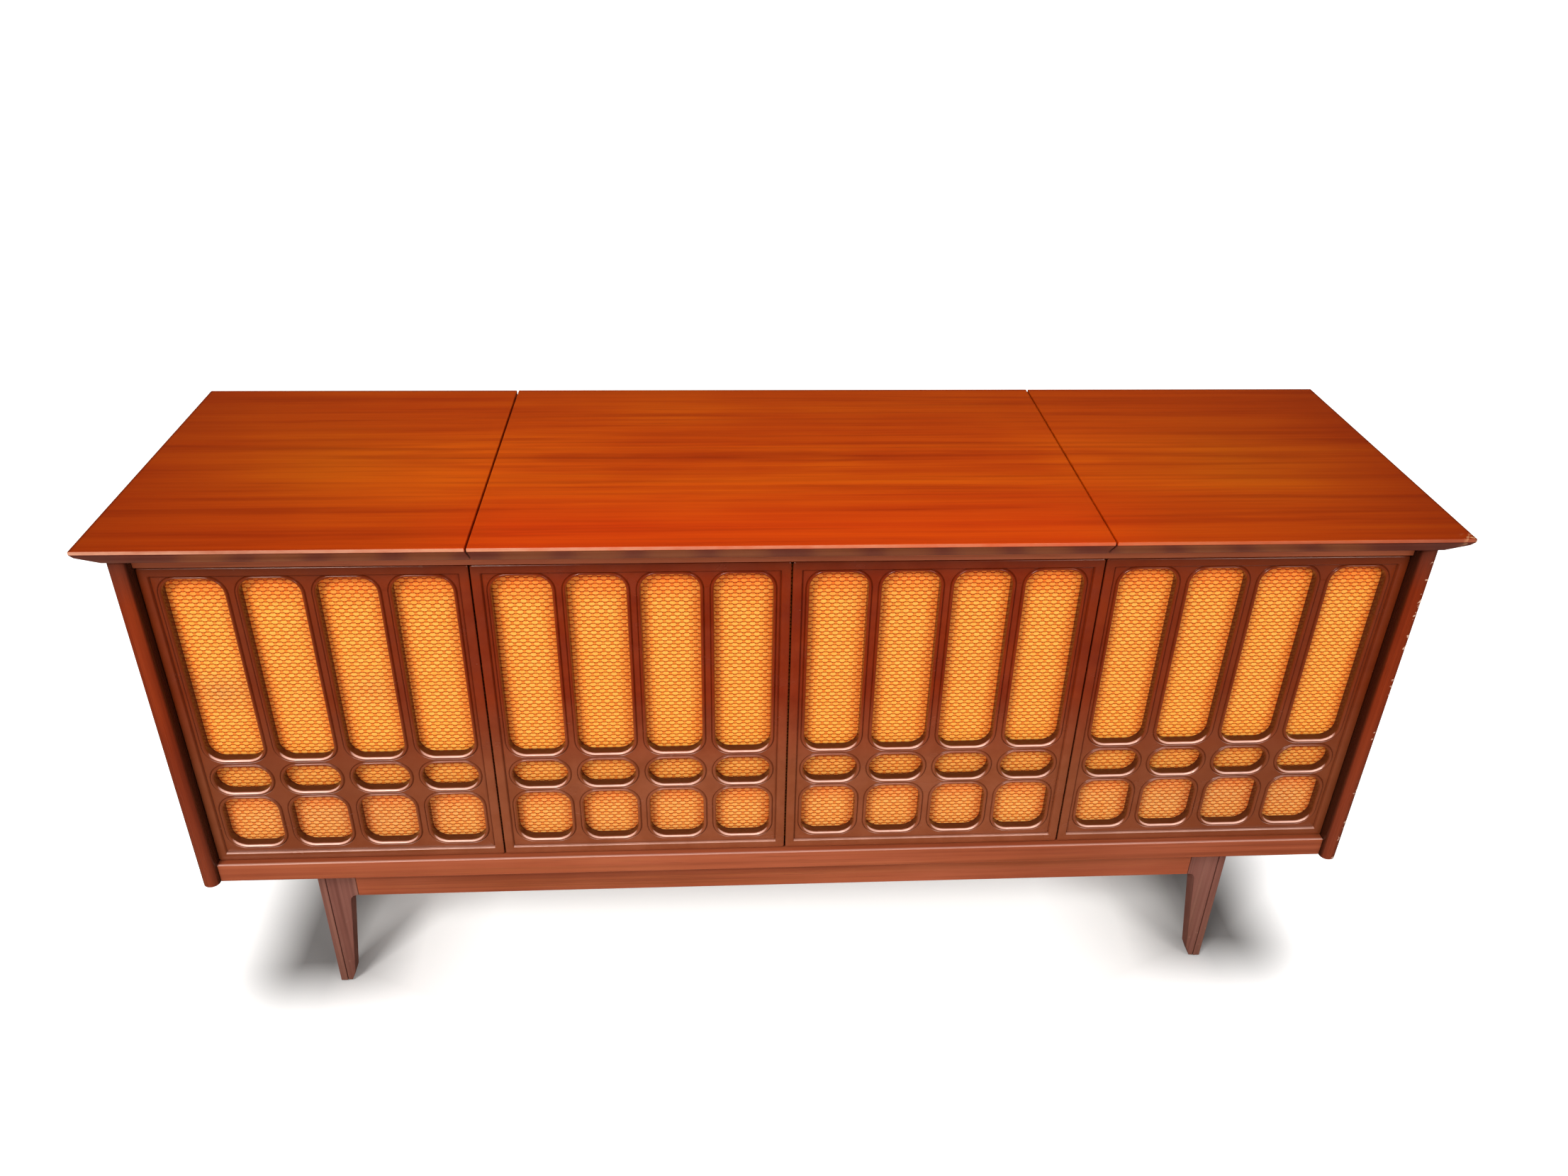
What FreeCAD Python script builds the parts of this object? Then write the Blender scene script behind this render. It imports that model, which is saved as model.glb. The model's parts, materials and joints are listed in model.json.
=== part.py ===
import FreeCAD, Part
import os
import re
import Sketcher

# Radio phonograph console: a long low cabinet with four moulded grilles on its front, a three-part top
# whose middle part is the lid, and a record changer and a tuner under that lid.
# Millimetres. X is right, Y is back (the grilles face -Y), Z is up.
# The origin is on the floor under the middle of the top.

SIZES = {
    # Top
    "top_length": 1475, "top_depth": 428, "top_height": 722, "top_thick": 26, "top_bevel": 22,
    "end_land": 12, "end_bevel": 18, "seam_middle": 341.5, "seam_gap": 2,
    # Cabinet box
    "end_outer": 720, "end_thick": 20, "end_front": 188, "back_face": 196, "body_low": 232,
    "bottom_thick": 18, "low_rail_height": 26, "low_rail_front": 178, "rail_thick": 20,
    "high_rail_height": 18, "high_rail_front": 172, "rear_rail_height": 20, "rear_rail_thick": 14,
    "partition_thick": 18, "baffle_front": 153, "baffle_thick": 12, "back_thick": 4, "inner_back": 190,
    "screw_head": 4.5, "screw_shank": 1.5, "screw_hole": 1.75, "pilot_hole": 1.6, "screw_depth": 14,
    "head_height": 2, "screw_end_x": 680, "screw_low": 350, "screw_mid": 500, "screw_high": 640,
    "vent_length": 50, "vent_height": 6, "vent_pitch": 75, "centre_vent_pitch": 100,
    "vent_low": 340, "vent_mid": 380, "vent_next": 420, "vent_high": 560, "vent_top": 600,
    # Grilles
    "grille_pitch": 350, "grille_width": 348, "grille_low": 259.5, "grille_high": 676,
    "grille_front": 170, "grille_field": 167, "grille_rear": 156, "field_thick": 4,
    "border_width": 10.5, "opening_pitch": 81.2, "ring_width": 73, "wall_width": 67, "bead": 3,
    "tall_low": 410.5, "tall_high": 664.5, "slot_low": 361, "slot_high": 407,
    "square_low": 277.5, "square_high": 358.5, "ring_corner": 22.5, "wall_corner": 19.5,
    "bead_rise": 1.5, "pin_radius": 2, "pin_inset": 5.2, "cloth_front": 155.6, "cloth_thick": 1.2,
    # Base
    "base_outer": 601, "base_front": 136, "base_rear": 150, "side_thick": 9, "apron_low": 160,
    "apron_thick": 18, "apron_half": 553.2, "leg_joint": 9.8, "leg_width": 47.2, "leg_waist": 37.4,
    "ankle_width": 21, "ankle_height": 16, "toe_width": 15, "foot_height": 2, "leg_step": 0.8,
    "leg_deep": 26, "leg_taper": 8, "notch_radius": 9.5, "glide_radius": 5.5, "glide_inset": 7.5,
    # Speakers
    "speaker_x": 525, "speaker_z": 440, "baffle_hole": 115, "flange_radius": 128, "basket_radius": 120,
    "flange_thick": 3, "basket_skin": 2, "basket_start": 16, "basket_end": 70, "basket_back": 52,
    "magnet_radius": 45, "magnet_end": 101, "pole_radius": 15, "gap_radius": 19, "cone_rim": 118,
    "cone_fold": 105, "coil_inner": 16, "coil_outer": 18, "coil_end": 85, "cone_depth": 58,
    "cone_front": 7, "paper_thick": 2, "gap_deep": 6, "window_half": 22, "window_start": 24,
    "window_end": 56, "window_reach": 80,
    # Record changer
    "shelf_top": 575, "shelf_thick": 15, "platter_x": -172, "platter_y": 20, "plate_left": -325,
    "plate_right": 45, "plate_front": -130, "plate_rear": 170, "plate_height": 14, "plate_skin": 2,
    "plate_corner": 12, "platter_radius": 140, "rim_inner": 128, "platter_low": 591, "platter_top": 606,
    "platter_web": 4, "hub_radius": 12, "mat_radius": 137, "mat_thick": 3, "spindle_radius": 3.5,
    "spindle_top": 668, "running_gap": 0.05, "idler_radius": 25, "idler_x": -99.24, "idler_y": 92.76,
    "pulley_radius": 4, "pulley_x": -125.61, "pulley_y": 105.06, "motor_radius": 32,
    "idler_low": 592.5, "tyre_low": 595, "tyre_high": 600, "idler_high": 601, "idler_hub": 6,
    "tyre_deep": 3, "tyre_slope": 0.8, "pulley_low": 591, "pulley_high": 600, "motor_shaft": 2,
    "shaft_low": 576, "motor_low": 520, "motor_high": 570, "motor_round": 3, "motor_neck": 10,
    "motor_well": 574, "stud_height": 12.5, "mat_well": 60, "mat_eye": 8, "groove_first": 70,
    "groove_pitch": 14, "groove_width": 5, "spindle_flange": 9, "knob_x": -45, "knob_y": -105,
    "arm_x": 12, "arm_y": 120, "arm_length": 225, "arm_axis_z": 624, "arm_post": 5, "arm_pin": 2,
    "post_collar": 13, "collar_height": 8, "fork_deep": 8, "fork_low": 597, "fork_high": 601,
    "ear_thick": 2.5, "ear_rise": 6, "arm_half": 5, "arm_wide": 9, "arm_back": 40, "arm_deep": 9,
    "arm_drop": 5, "shoulder_start": 20, "shell_start": 22, "shell_end": 8, "neck_start": 28,
    "weight_half": 12, "weight_tall": 7, "weight_start": 24, "weight_end": 48, "cartridge_half": 6,
    "cartridge_deep": 4, "needle_low": 11.5, "needle_half": 0.6, "rest_middle": -60, "rest_half": 4,
    "over_x": -300, "over_y": 148, "over_reach": 181, "over_radius": 7, "over_thick": 8,
    "over_width": 10, "over_rise": 4, "over_end": 9,
    # Tuner
    "panel_left": 60, "panel_right": 326, "panel_front": -132, "panel_rear": 172, "panel_top": 602,
    "panel_skin": 3, "dial_left": 78, "dial_right": 308, "dial_front": 64, "dial_rear": 146,
    "dial_floor": 588, "glass_rim": 3, "glass_thick": 2, "pointer_x": 193, "knob_radius": 16,
    "knob_height": 18, "knob_gap": 0.2, "shaft_radius": 3, "tuning_radius": 22,
    "first_knob_x": 100, "knob_pitch": 65, "knob_row_y": -70, "tuning_x": 290, "tuning_y": -20,
    "button_y": 10, "button_half_x": 11, "button_half_y": 7, "button_rise": 7, "button_drop": 8,
    "changer_knob_radius": 13, "changer_knob_height": 14, "flute_radius": 1.8, "flute_out": 0.8,
    "blade_half": 0.8, "carrier_half": 5, "pointer_lift": 4, "pointer_top": 6,
    # Receiver
    "chassis_front": -120, "chassis_rear": 160, "chassis_low": 500, "chassis_skin": 1.5,
    "chassis_inset": 10, "core_left": 180, "core_right": 260, "core_front": 55, "core_rear": 95,
    "core_height": 66, "core_leg": 13, "window_width": 13, "winding_front": 44, "winding_rear": 106,
    "winding_inset": 15, "cord_x": 220, "cord_start": 106.5, "cord_end": 203, "cord_z": 275,
    "cord_low": 150, "cord_radius": 3, "cord_hole": 5, "plug_low": 112, "plug_radius": 9,
    "plug_length": 40, "blade_low": 94, "blade_thick": 1.5, "blade_gap": 12, "blade_wide": 3,
    # Lid hardware
    "pin_y": 199.3, "pin_z": 693.6, "knuckle_radius": 3.2, "hinge_pin": 1.5, "leaf_thick": 1.5,
    "hinge_x": 230, "leaf_length": 60, "leaf_reach": 19.3, "knuckle_length": 20, "knuckle_gap": 0.2,
    "leaf_low": 668, "leaf_clear": 0.6, "mortise_gap": 0.2,
    "stay_back": 25, "stay_drop": 25, "stay_reach": 180, "stay_width": 12, "stay_thick": 2,
    "stay_slot_start": 149, "stay_slot_end": 202, "stay_slot_width": 6.6, "stay_stud": 3,
    "stay_end": 7, "washer_radius": 5, "washer_thick": 0.9, "bracket_start": 2.5,
    "bracket_half": 10, "bracket_reach": 26, "bracket_plate": 1.5, "bracket_drop": 7, "stud_gap": 0.3,
}

doc = FreeCAD.newDocument("console")
sheet = doc.addObject("Spreadsheet::Sheet", "Sizes")
for row, (alias, number) in enumerate(SIZES.items(), start=1):
    sheet.set("A" + str(row), alias.replace("_", " "))
    sheet.set("B" + str(row), str(number))
    sheet.setAlias("B" + str(row), alias)
doc.recompute()

pieces = []
UP = FreeCAD.Rotation()
ALONG_X = FreeCAD.Rotation(FreeCAD.Vector(0, 1, 0), 90)
ALONG_Y = FreeCAD.Rotation(FreeCAD.Vector(1, 0, 0), -90)


def rule(text):
    """Turn a formula written with the sheet's aliases into an expression of the document."""
    def name(match):
        word = match.group()
        return "Sizes." + word if word in SIZES else word
    return re.sub(r"[a-z_]+", name, str(text))


def size(text):
    """The number a formula gives with the sheet's present values."""
    return float(doc.getObject("Sizes").evalExpression(rule(text).replace("Sizes.", "")))


def bind(item, **formulas):
    for prop, text in formulas.items():
        item.setExpression(prop, rule(text))


def place(item, spot):
    for axis, text in zip("xyz", spot):
        item.setExpression("Placement.Base." + axis, rule(text))


def keep(item, label):
    """Name a finished sub-part and list it for export."""
    item.Label = label
    pieces.append(item)
    return item


# Primitives and booleans

def block(label, x, y, z):
    """A box between two formulas on each axis."""
    item = doc.addObject("Part::Box", label)
    for prop, (low, high) in zip(("Length", "Width", "Height"), (x, y, z)):
        item.setExpression(prop, rule(f"({high}) - ({low})"))
    place(item, (x[0], y[0], z[0]))
    return item


def rod(label, radius, start, length, turn=UP):
    """A cylinder from a start point along the turned axis."""
    item = doc.addObject("Part::Cylinder", label)
    item.Placement = FreeCAD.Placement(FreeCAD.Vector(), turn)
    bind(item, Radius=radius, Height=length)
    place(item, start)
    return item


def fuse(label, items):
    item = doc.addObject("Part::MultiFuse", label)
    item.Shapes = items
    item.Refine = True
    return item


def cut(label, base, tools):
    item = doc.addObject("Part::Cut", label)
    item.Base = base
    item.Tool = tools[0] if len(tools) == 1 else fuse(label + "_tools", tools)
    item.Refine = True
    return item


# Sketches and bodies

def new_body(label):
    body = doc.addObject("PartDesign::Body", label)
    return keep(body, label)


def sketch_on(body, role, offset=0):
    """A sketch on one of the body's own origin planes, moved along the plane's normal."""
    sketch = body.newObject("Sketcher::SketchObject", body.Name + "_sketch")
    plane = [feature for feature in body.Origin.OriginFeatures if feature.Role == role][0]
    sketch.AttachmentSupport = [(plane, "")]
    sketch.MapMode = "FlatFace"
    sketch.setExpression("AttachmentOffset.Base.z", rule(offset))
    return sketch


def fix_number(sketch, constraint, text):
    index = sketch.addConstraint(constraint)
    sketch.setExpression(f"Constraints[{index}]", rule(text))


def outline(sketch, corners, close=True):
    """Straight lines through corners, each corner held by two bound distances."""
    points = [FreeCAD.Vector(size(x), size(y), 0) for x, y in corners]
    first = sketch.GeometryCount
    count = len(points) if close else len(points) - 1
    for index in range(count):
        sketch.addGeometry(Part.LineSegment(points[index], points[(index + 1) % len(points)]), False)
    for index in range(count if close else count - 1):
        after = first + (index + 1) % count
        sketch.addConstraint(Sketcher.Constraint("Coincident", first + index, 2, after, 1))
    for index, (x, y) in enumerate(corners):
        line, end = (first + index, 1) if index < count else (first + index - 1, 2)
        fix_number(sketch, Sketcher.Constraint("DistanceX", -1, 1, line, end, size(x)), x)
        fix_number(sketch, Sketcher.Constraint("DistanceY", -1, 1, line, end, size(y)), y)
    return sketch


def rectangle(sketch, x, y):
    return outline(sketch, [(x[0], y[0]), (x[1], y[0]), (x[1], y[1]), (x[0], y[1])])


def circle(sketch, x, y, radius):
    centre = FreeCAD.Vector(size(x), size(y), 0)
    ring = sketch.addGeometry(Part.Circle(centre, FreeCAD.Vector(0, 0, 1), size(radius)), False)
    fix_number(sketch, Sketcher.Constraint("DistanceX", -1, 1, ring, 3, size(x)), x)
    fix_number(sketch, Sketcher.Constraint("DistanceY", -1, 1, ring, 3, size(y)), y)
    fix_number(sketch, Sketcher.Constraint("Radius", ring, size(radius)), radius)
    return sketch


def rounded_rectangle(sketch, x, y, radius):
    """Four sides and four equal corner arcs, fully held by bound sizes."""
    left, right, low, high = size(x[0]), size(x[1]), size(y[0]), size(y[1])
    bend = size(radius)
    corner_spots = [(right - bend, low + bend, 270), (right - bend, high - bend, 0),
                    (left + bend, high - bend, 90), (left + bend, low + bend, 180)]
    sides = [((left + bend, low), (right - bend, low)), ((right, low + bend), (right, high - bend)),
             ((right - bend, high), (left + bend, high)), ((left, high - bend), (left, low + bend))]
    first = sketch.GeometryCount
    for (start, end), (cx, cy, angle) in zip(sides, corner_spots):
        sketch.addGeometry(Part.LineSegment(FreeCAD.Vector(*start, 0), FreeCAD.Vector(*end, 0)), False)
        ring = Part.Circle(FreeCAD.Vector(cx, cy, 0), FreeCAD.Vector(0, 0, 1), bend)
        turn = 3.141592653589793 / 180
        sketch.addGeometry(Part.ArcOfCircle(ring, angle * turn, (angle + 90) * turn), False)
    for step in range(4):
        side = first + 2 * step
        after = first + (2 * step + 2) % 8
        sketch.addConstraint(Sketcher.Constraint("Tangent", side, 2, side + 1, 1))
        sketch.addConstraint(Sketcher.Constraint("Tangent", side + 1, 2, after, 1))
        sketch.addConstraint(Sketcher.Constraint("Vertical" if step % 2 else "Horizontal", side))
        if step:
            sketch.addConstraint(Sketcher.Constraint("Equal", first + 1, side + 1))
    fix_number(sketch, Sketcher.Constraint("Radius", first + 1, bend), radius)
    fix_number(sketch, Sketcher.Constraint("DistanceX", -1, 1, first + 2, 1, right), x[1])
    fix_number(sketch, Sketcher.Constraint("DistanceX", -1, 1, first + 6, 1, left), x[0])
    fix_number(sketch, Sketcher.Constraint("DistanceY", -1, 1, first, 1, low), y[0])
    fix_number(sketch, Sketcher.Constraint("DistanceY", -1, 1, first + 4, 1, high), y[1])
    return sketch


def pad(body, sketch, length):
    feature = body.newObject("PartDesign::Pad", body.Name + "_pad")
    feature.Profile = sketch
    bind(feature, Length=length)
    sketch.Visibility = False
    doc.recompute()
    return feature


def pocket(body, sketch, length=None, backwards=False):
    """Cut along the sketch, through everything both ways when no depth is given."""
    before = body.Shape.Volume
    feature = body.newObject("PartDesign::Pocket", body.Name + "_pocket")
    feature.Profile = sketch
    if length is None:
        feature.Type = 1
        feature.Midplane = True
    else:
        bind(feature, Length=length)
        feature.Reversed = backwards
    doc.recompute()
    if body.Shape.Volume > before - 0.5:
        raise RuntimeError(body.Label + ": a pocket removed nothing")
    return feature


def revolve(body, corners):
    """Turn a half profile, given as radius and height, round the body's own Z axis."""
    sketch = outline(sketch_on(body, "XZ_Plane"), corners)
    feature = body.newObject("PartDesign::Revolution", body.Name + "_revolution")
    feature.Profile = sketch
    feature.ReferenceAxis = (sketch, ["V_Axis"])
    feature.Angle = 360
    doc.recompute()
    return feature


def repeat_round(body, feature, count):
    """Repeat a feature round the body's Z axis."""
    before = body.Shape.Volume
    pattern = body.newObject("PartDesign::PolarPattern", body.Name + "_ring")
    pattern.Originals = [feature]
    axis = [item for item in body.Origin.OriginFeatures if item.Role == "Z_Axis"][0]
    pattern.Axis = (axis, [""])
    pattern.Angle = 360
    pattern.Occurrences = count
    body.Tip = pattern
    doc.recompute()
    if abs(body.Shape.Volume - before) < 0.5:
        raise RuntimeError(body.Label + ": a pattern changed nothing")


def repeat_along(body, feature, length, count):
    """Repeat a feature along the body's X axis over a bound length."""
    pattern = body.newObject("PartDesign::LinearPattern", body.Name + "_row")
    pattern.Originals = [feature]
    axis = [item for item in body.Origin.OriginFeatures if item.Role == "X_Axis"][0]
    pattern.Direction = (axis, [""])
    bind(pattern, Length=length)
    pattern.Occurrences = count
    body.Tip = pattern
    doc.recompute()


def edges_where(shape, test):
    """Names of the edges whose middle point passes a test."""
    names = []
    for number, edge in enumerate(shape.Edges, start=1):
        middle = edge.CenterOfMass
        if test(middle.x, middle.y, middle.z):
            names.append("Edge" + str(number))
    return names


def dress(body, kind, base, names, amount):
    """Put a Fillet or Chamfer on named edges of a feature."""
    if not names:
        raise RuntimeError(body.Label + ": no edge found")
    feature = body.newObject("PartDesign::" + kind, body.Name + "_" + kind.lower())
    feature.Base = (base, names)
    bind(feature, **{"Radius" if kind == "Fillet" else "Size": amount})
    body.Tip = feature
    doc.recompute()


def near(a, b):
    return abs(a - b) < 0.05


# Cabinet

UNDER_TOP = "top_height - top_thick"
BOTTOM_TOP = "body_low + bottom_thick"
INNER_END = "end_outer - end_thick"
MIDDLE_Z = f"({UNDER_TOP} + body_low) / 2"


def end_panel(label, side):
    """An upright end board whose front edge is a full round."""
    body = new_body(label)
    near_x, far_x = f"{side} * (end_outer)", f"{side} * ({INNER_END})"
    sketch = rectangle(sketch_on(body, "XY_Plane", "body_low"), (near_x, far_x), ("-end_front", "back_face"))
    board = pad(body, sketch, f"{UNDER_TOP} - body_low")
    front = edges_where(board.Shape, lambda x, y, z: near(y, -size("end_front")) and near(z, size(MIDDLE_Z)))
    dress(body, "Fillet", board, front, "end_thick / 2 - 0.5")


def shaped_board(label, plane, offset, corners, thick):
    """A flat board with a straight-sided outline."""
    body = new_body(label)
    pad(body, outline(sketch_on(body, plane, offset), corners), thick)
    return body


def partition(label, side):
    """An upright wall under one seam of the top, notched at the back for the rear rail."""
    notch_y, notch_z = "back_face - rear_rail_thick", f"{UNDER_TOP} - rear_rail_height"
    front = "-baffle_front + baffle_thick"
    corners = [(front, BOTTOM_TOP), ("inner_back", BOTTOM_TOP), ("inner_back", notch_z),
               (notch_y, notch_z), (notch_y, UNDER_TOP), (front, UNDER_TOP)]
    middle = f"{side} * (seam_middle) - partition_thick / 2"
    wall = shaped_board(label, "YZ_Plane", middle, corners, "partition_thick")
    holes = sketch_on(wall, "XZ_Plane", "-inner_back")
    for height in SCREW_HEIGHTS:
        circle(holes, f"{side} * (seam_middle)", height, "pilot_hole")
    pocket(wall, holes, "screw_depth + 1", backwards=True)


SCREW_HEIGHTS = ("screw_low", "screw_mid", "screw_high")
SCREW_COLUMNS = ("-screw_end_x", "-seam_middle", "0", "seam_middle", "screw_end_x")
LOW_SCREW = "body_low + bottom_thick / 2"


def screw_spots():
    """Where the back is screwed on: along the bottom board and up both partitions."""
    low_row = [(x, LOW_SCREW) for x in SCREW_COLUMNS]
    wall_rows = [(x, z) for x in ("-seam_middle", "seam_middle") for z in SCREW_HEIGHTS]
    return low_row + wall_rows


def bottom_board():
    board = block("bottom_blank", (f"-({INNER_END})", INNER_END),
                  ("-low_rail_front + rail_thick", "inner_back"), ("body_low", BOTTOM_TOP))
    holes = [rod("bottom_pilot", "pilot_hole", (x, "inner_back - screw_depth - 1", LOW_SCREW),
                 "screw_depth + 1", ALONG_Y) for x in SCREW_COLUMNS]
    keep(cut("bottom_board", board, holes), "bottom_board")


def rails():
    span = (f"-({INNER_END})", INNER_END)
    keep(block("bottom_front_rail", span, ("-low_rail_front", "-low_rail_front + rail_thick"),
               ("body_low", "body_low + low_rail_height")), "bottom_front_rail")
    keep(block("top_front_rail", span, ("-high_rail_front", "-high_rail_front + rail_thick"),
               (f"{UNDER_TOP} - high_rail_height", UNDER_TOP)), "top_front_rail")
    keep(block("top_rear_rail", span, ("back_face - rear_rail_thick", "back_face"),
               (f"{UNDER_TOP} - rear_rail_height", UNDER_TOP)), "top_rear_rail")


def back_panel():
    """Hardboard back with rows of slots, screw holes and a hole for the cord."""
    board = block("back_blank", (f"-({INNER_END}) + 2", f"{INNER_END} - 2"),
                  ("inner_back", "inner_back + back_thick"),
                  ("body_low + 4", f"{UNDER_TOP} - rear_rail_height - 1"))
    tools = []
    columns = [f"{step} * centre_vent_pitch" for step in (-1, 0, 1)]
    columns += [f"{side} * speaker_x + {step} * vent_pitch" for side in (-1, 1) for step in (-1, 0, 1)]
    for column in columns:
        for level in ("vent_low", "vent_mid", "vent_next", "vent_high", "vent_top"):
            slot = block("vent", (f"{column} - vent_length / 2", f"{column} + vent_length / 2"),
                         ("inner_back - 1", "inner_back + back_thick + 1"), (level, f"{level} + vent_height"))
            tools.append(slot)
    for x, z in screw_spots():
        tools.append(rod("screw_way", "screw_hole", (x, "inner_back - 1", z), "back_thick + 2", ALONG_Y))
    tools.append(rod("cord_way", "cord_hole", ("cord_x", "inner_back - 1", "cord_z"), "back_thick + 2",
                     ALONG_Y))
    keep(cut("back_panel", board, tools), "back_panel")


def back_panel_screws():
    """Round-head wood screws through the back panel."""
    face = "inner_back + back_thick"
    screws = []
    for x, z in screw_spots():
        head = rod("screw_head", "screw_head", (x, face, z), "head_height", ALONG_Y)
        shank = rod("screw_shank", "screw_shank", (x, f"{face} - screw_depth", z), "screw_depth + 0.5",
                    ALONG_Y)
        screws.append(fuse("screw", [head, shank]))
    keep(fuse("back_panel_screws", screws), "back_panel_screws")


def baffle_board():
    """The board behind the cloth, with a speaker hole at each end and clear middle bays."""
    board = block("baffle_blank", (f"-({INNER_END})", INNER_END),
                  ("-baffle_front", "-baffle_front + baffle_thick"),
                  (BOTTOM_TOP, f"{UNDER_TOP} - high_rail_height"))
    holes = [rod("speaker_hole", "baffle_hole", (f"{side} * speaker_x", "-baffle_front - 1", "speaker_z"),
                 "baffle_thick + 2", ALONG_Y) for side in (-1, 1)]
    keep(cut("baffle_board", board, holes), "baffle_board")


# Top

def top_panel(label, left, right, outer_side=0):
    """A thick board with a wide bevel under its front edge, and a shallower one under an outer end."""
    body = new_body(label)
    sketch = rectangle(sketch_on(body, "XY_Plane", UNDER_TOP), (left, right),
                       ("-top_depth / 2", "top_depth / 2"))
    board = pad(body, sketch, "top_thick")
    under = size(UNDER_TOP)
    front = -size("top_depth") / 2

    low_front = edges_where(board.Shape, lambda x, y, z: near(z, under) and near(y, front))
    dress(body, "Chamfer", board, low_front, "top_bevel")
    if outer_side:
        end = f"{outer_side} * top_length / 2"
        wedge = outline(sketch_on(body, "XZ_Plane"), [(f"{end} - {outer_side} * end_bevel", UNDER_TOP),
                                                      (end, UNDER_TOP), (end, "top_height - end_land")])
        pocket(body, wedge)
    return body


def top_panels():
    half = "top_length / 2"
    inner = "seam_middle + seam_gap / 2"
    top_panel("left_top_panel", f"-{half}", f"-({inner})", -1)
    top_panel("right_top_panel", inner, half, 1)
    lid = top_panel("centre_lid", "-seam_middle + seam_gap / 2", "seam_middle - seam_gap / 2")
    mortises = sketch_on(lid, "XY_Plane", UNDER_TOP)
    for side in (-1, 1):
        rectangle(mortises, (f"{side} * hinge_x - leaf_length / 2 - mortise_gap",
                             f"{side} * hinge_x + leaf_length / 2 + mortise_gap"),
                  ("pin_y - leaf_reach - mortise_gap", "top_depth / 2 + 1"))
    pocket(lid, mortises, "leaf_thick", backwards=True)


# Grilles and cloth

OPENINGS = (("tall_low", "tall_high"), ("slot_low", "slot_high"), ("square_low", "square_high"))


def grille(label, place_in_row):
    """A moulded panel: flat field, raised border, and twelve beaded openings with deep walls."""
    body = new_body(label)
    place(body, (f"{place_in_row} * grille_pitch", "0", "0"))
    half = "grille_width / 2"
    outer = ((f"-{half}", half), ("grille_low", "grille_high"))
    inner = ((f"-({half} - border_width)", f"{half} - border_width"),
             ("grille_low + border_width", "grille_high - border_width"))
    border = sketch_on(body, "XZ_Plane", "grille_rear")
    rectangle(border, *outer)
    rectangle(border, *inner)
    pad(body, border, "grille_front - grille_rear")
    field = rectangle(sketch_on(body, "XZ_Plane", "grille_field - field_thick"), *outer)
    pad(body, field, "field_thick")
    first_column = "-1.5 * opening_pitch"
    rings = sketch_on(body, "XZ_Plane", "grille_rear")
    walls = sketch_on(body, "XZ_Plane", "grille_rear - 1")
    for low, high in OPENINGS:
        rounded_rectangle(rings, (f"{first_column} - ring_width / 2", f"{first_column} + ring_width / 2"),
                          (low, high), "ring_corner")
        rounded_rectangle(walls, (f"{first_column} - wall_width / 2", f"{first_column} + wall_width / 2"),
                          (f"{low} + bead", f"{high} - bead"), "wall_corner")
    ring_row = pad(body, rings, "grille_field + bead_rise - grille_rear")
    repeat_along(body, ring_row, "3 * opening_pitch", 4)
    wall_row = pocket(body, walls, "grille_front - grille_rear + 2", backwards=True)
    repeat_along(body, wall_row, "3 * opening_pitch", 4)
    pins = sketch_on(body, "XZ_Plane", "baffle_front")
    for x in (f"-({half} - pin_inset)", f"{half} - pin_inset"):
        for z in ("grille_low + pin_inset", "grille_high - pin_inset"):
            circle(pins, x, z, "pin_radius")
    pad(body, pins, "grille_rear - baffle_front + 1")


def grille_cloth():
    """One length of woven cloth over the whole front, with holes for the grille pins."""
    cloth = block("cloth_blank", (f"-({INNER_END}) + 3", f"{INNER_END} - 3"),
                  ("-cloth_front", "-cloth_front + cloth_thick"), ("grille_low + 1", "grille_high - 1"))
    holes = []
    for panel in (-1.5, -0.5, 0.5, 1.5):
        for side in (-1, 1):
            x = f"{panel} * grille_pitch + {side} * (grille_width / 2 - pin_inset)"
            for z in ("grille_low + pin_inset", "grille_high - pin_inset"):
                holes.append(rod("pin_way", "pin_radius + 0.5", (x, "-cloth_front - 1", z),
                                 "cloth_thick + 2", ALONG_Y))
    keep(cut("grille_cloth", cloth, holes), "grille_cloth")


# Base

# Distance in from the outer face, and height, up the inner edge of a leg.
LEG_EDGE = [("toe_width", "foot_height"), ("ankle_width", "ankle_height"), ("leg_waist", "apron_low")]


def leg(label, side, end):
    """A tapered leg behind the side board's edge; end is -1 at the front and 1 at the back."""
    outer_y = "base_front" if end < 0 else "base_rear"
    face_y = f"{end} * ({outer_y} - leg_step)"
    body = new_body(label)
    offset = f"-({face_y} + leg_deep)" if end < 0 else f"-({face_y})"
    steps = [("leg_joint", "foot_height")] + LEG_EDGE
    steps += [("leg_width", "apron_low"), ("leg_width", "body_low"), ("leg_joint", "body_low")]
    sketch = outline(sketch_on(body, "XZ_Plane", offset),
                     [(f"{side} * (base_outer - {across})", up) for across, up in steps])
    shaft = pad(body, sketch, "leg_deep")
    waist_x = side * size("base_outer - leg_waist")
    notch = edges_where(shaft.Shape, lambda x, y, z: near(x, waist_x) and near(z, size("apron_low")))
    dress(body, "Fillet", shaft, notch, "notch_radius")
    inner_y = f"{end} * ({outer_y} - leg_step - leg_deep)"
    taper = outline(sketch_on(body, "YZ_Plane", f"{side} * (base_outer - leg_width / 2)"),
                    [(inner_y, "apron_low"), (f"{inner_y} + {end} * leg_taper", "foot_height - 1"),
                     (f"{inner_y} - {end}", "foot_height - 1"), (f"{inner_y} - {end}", "apron_low")])
    pocket(body, taper)


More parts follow.
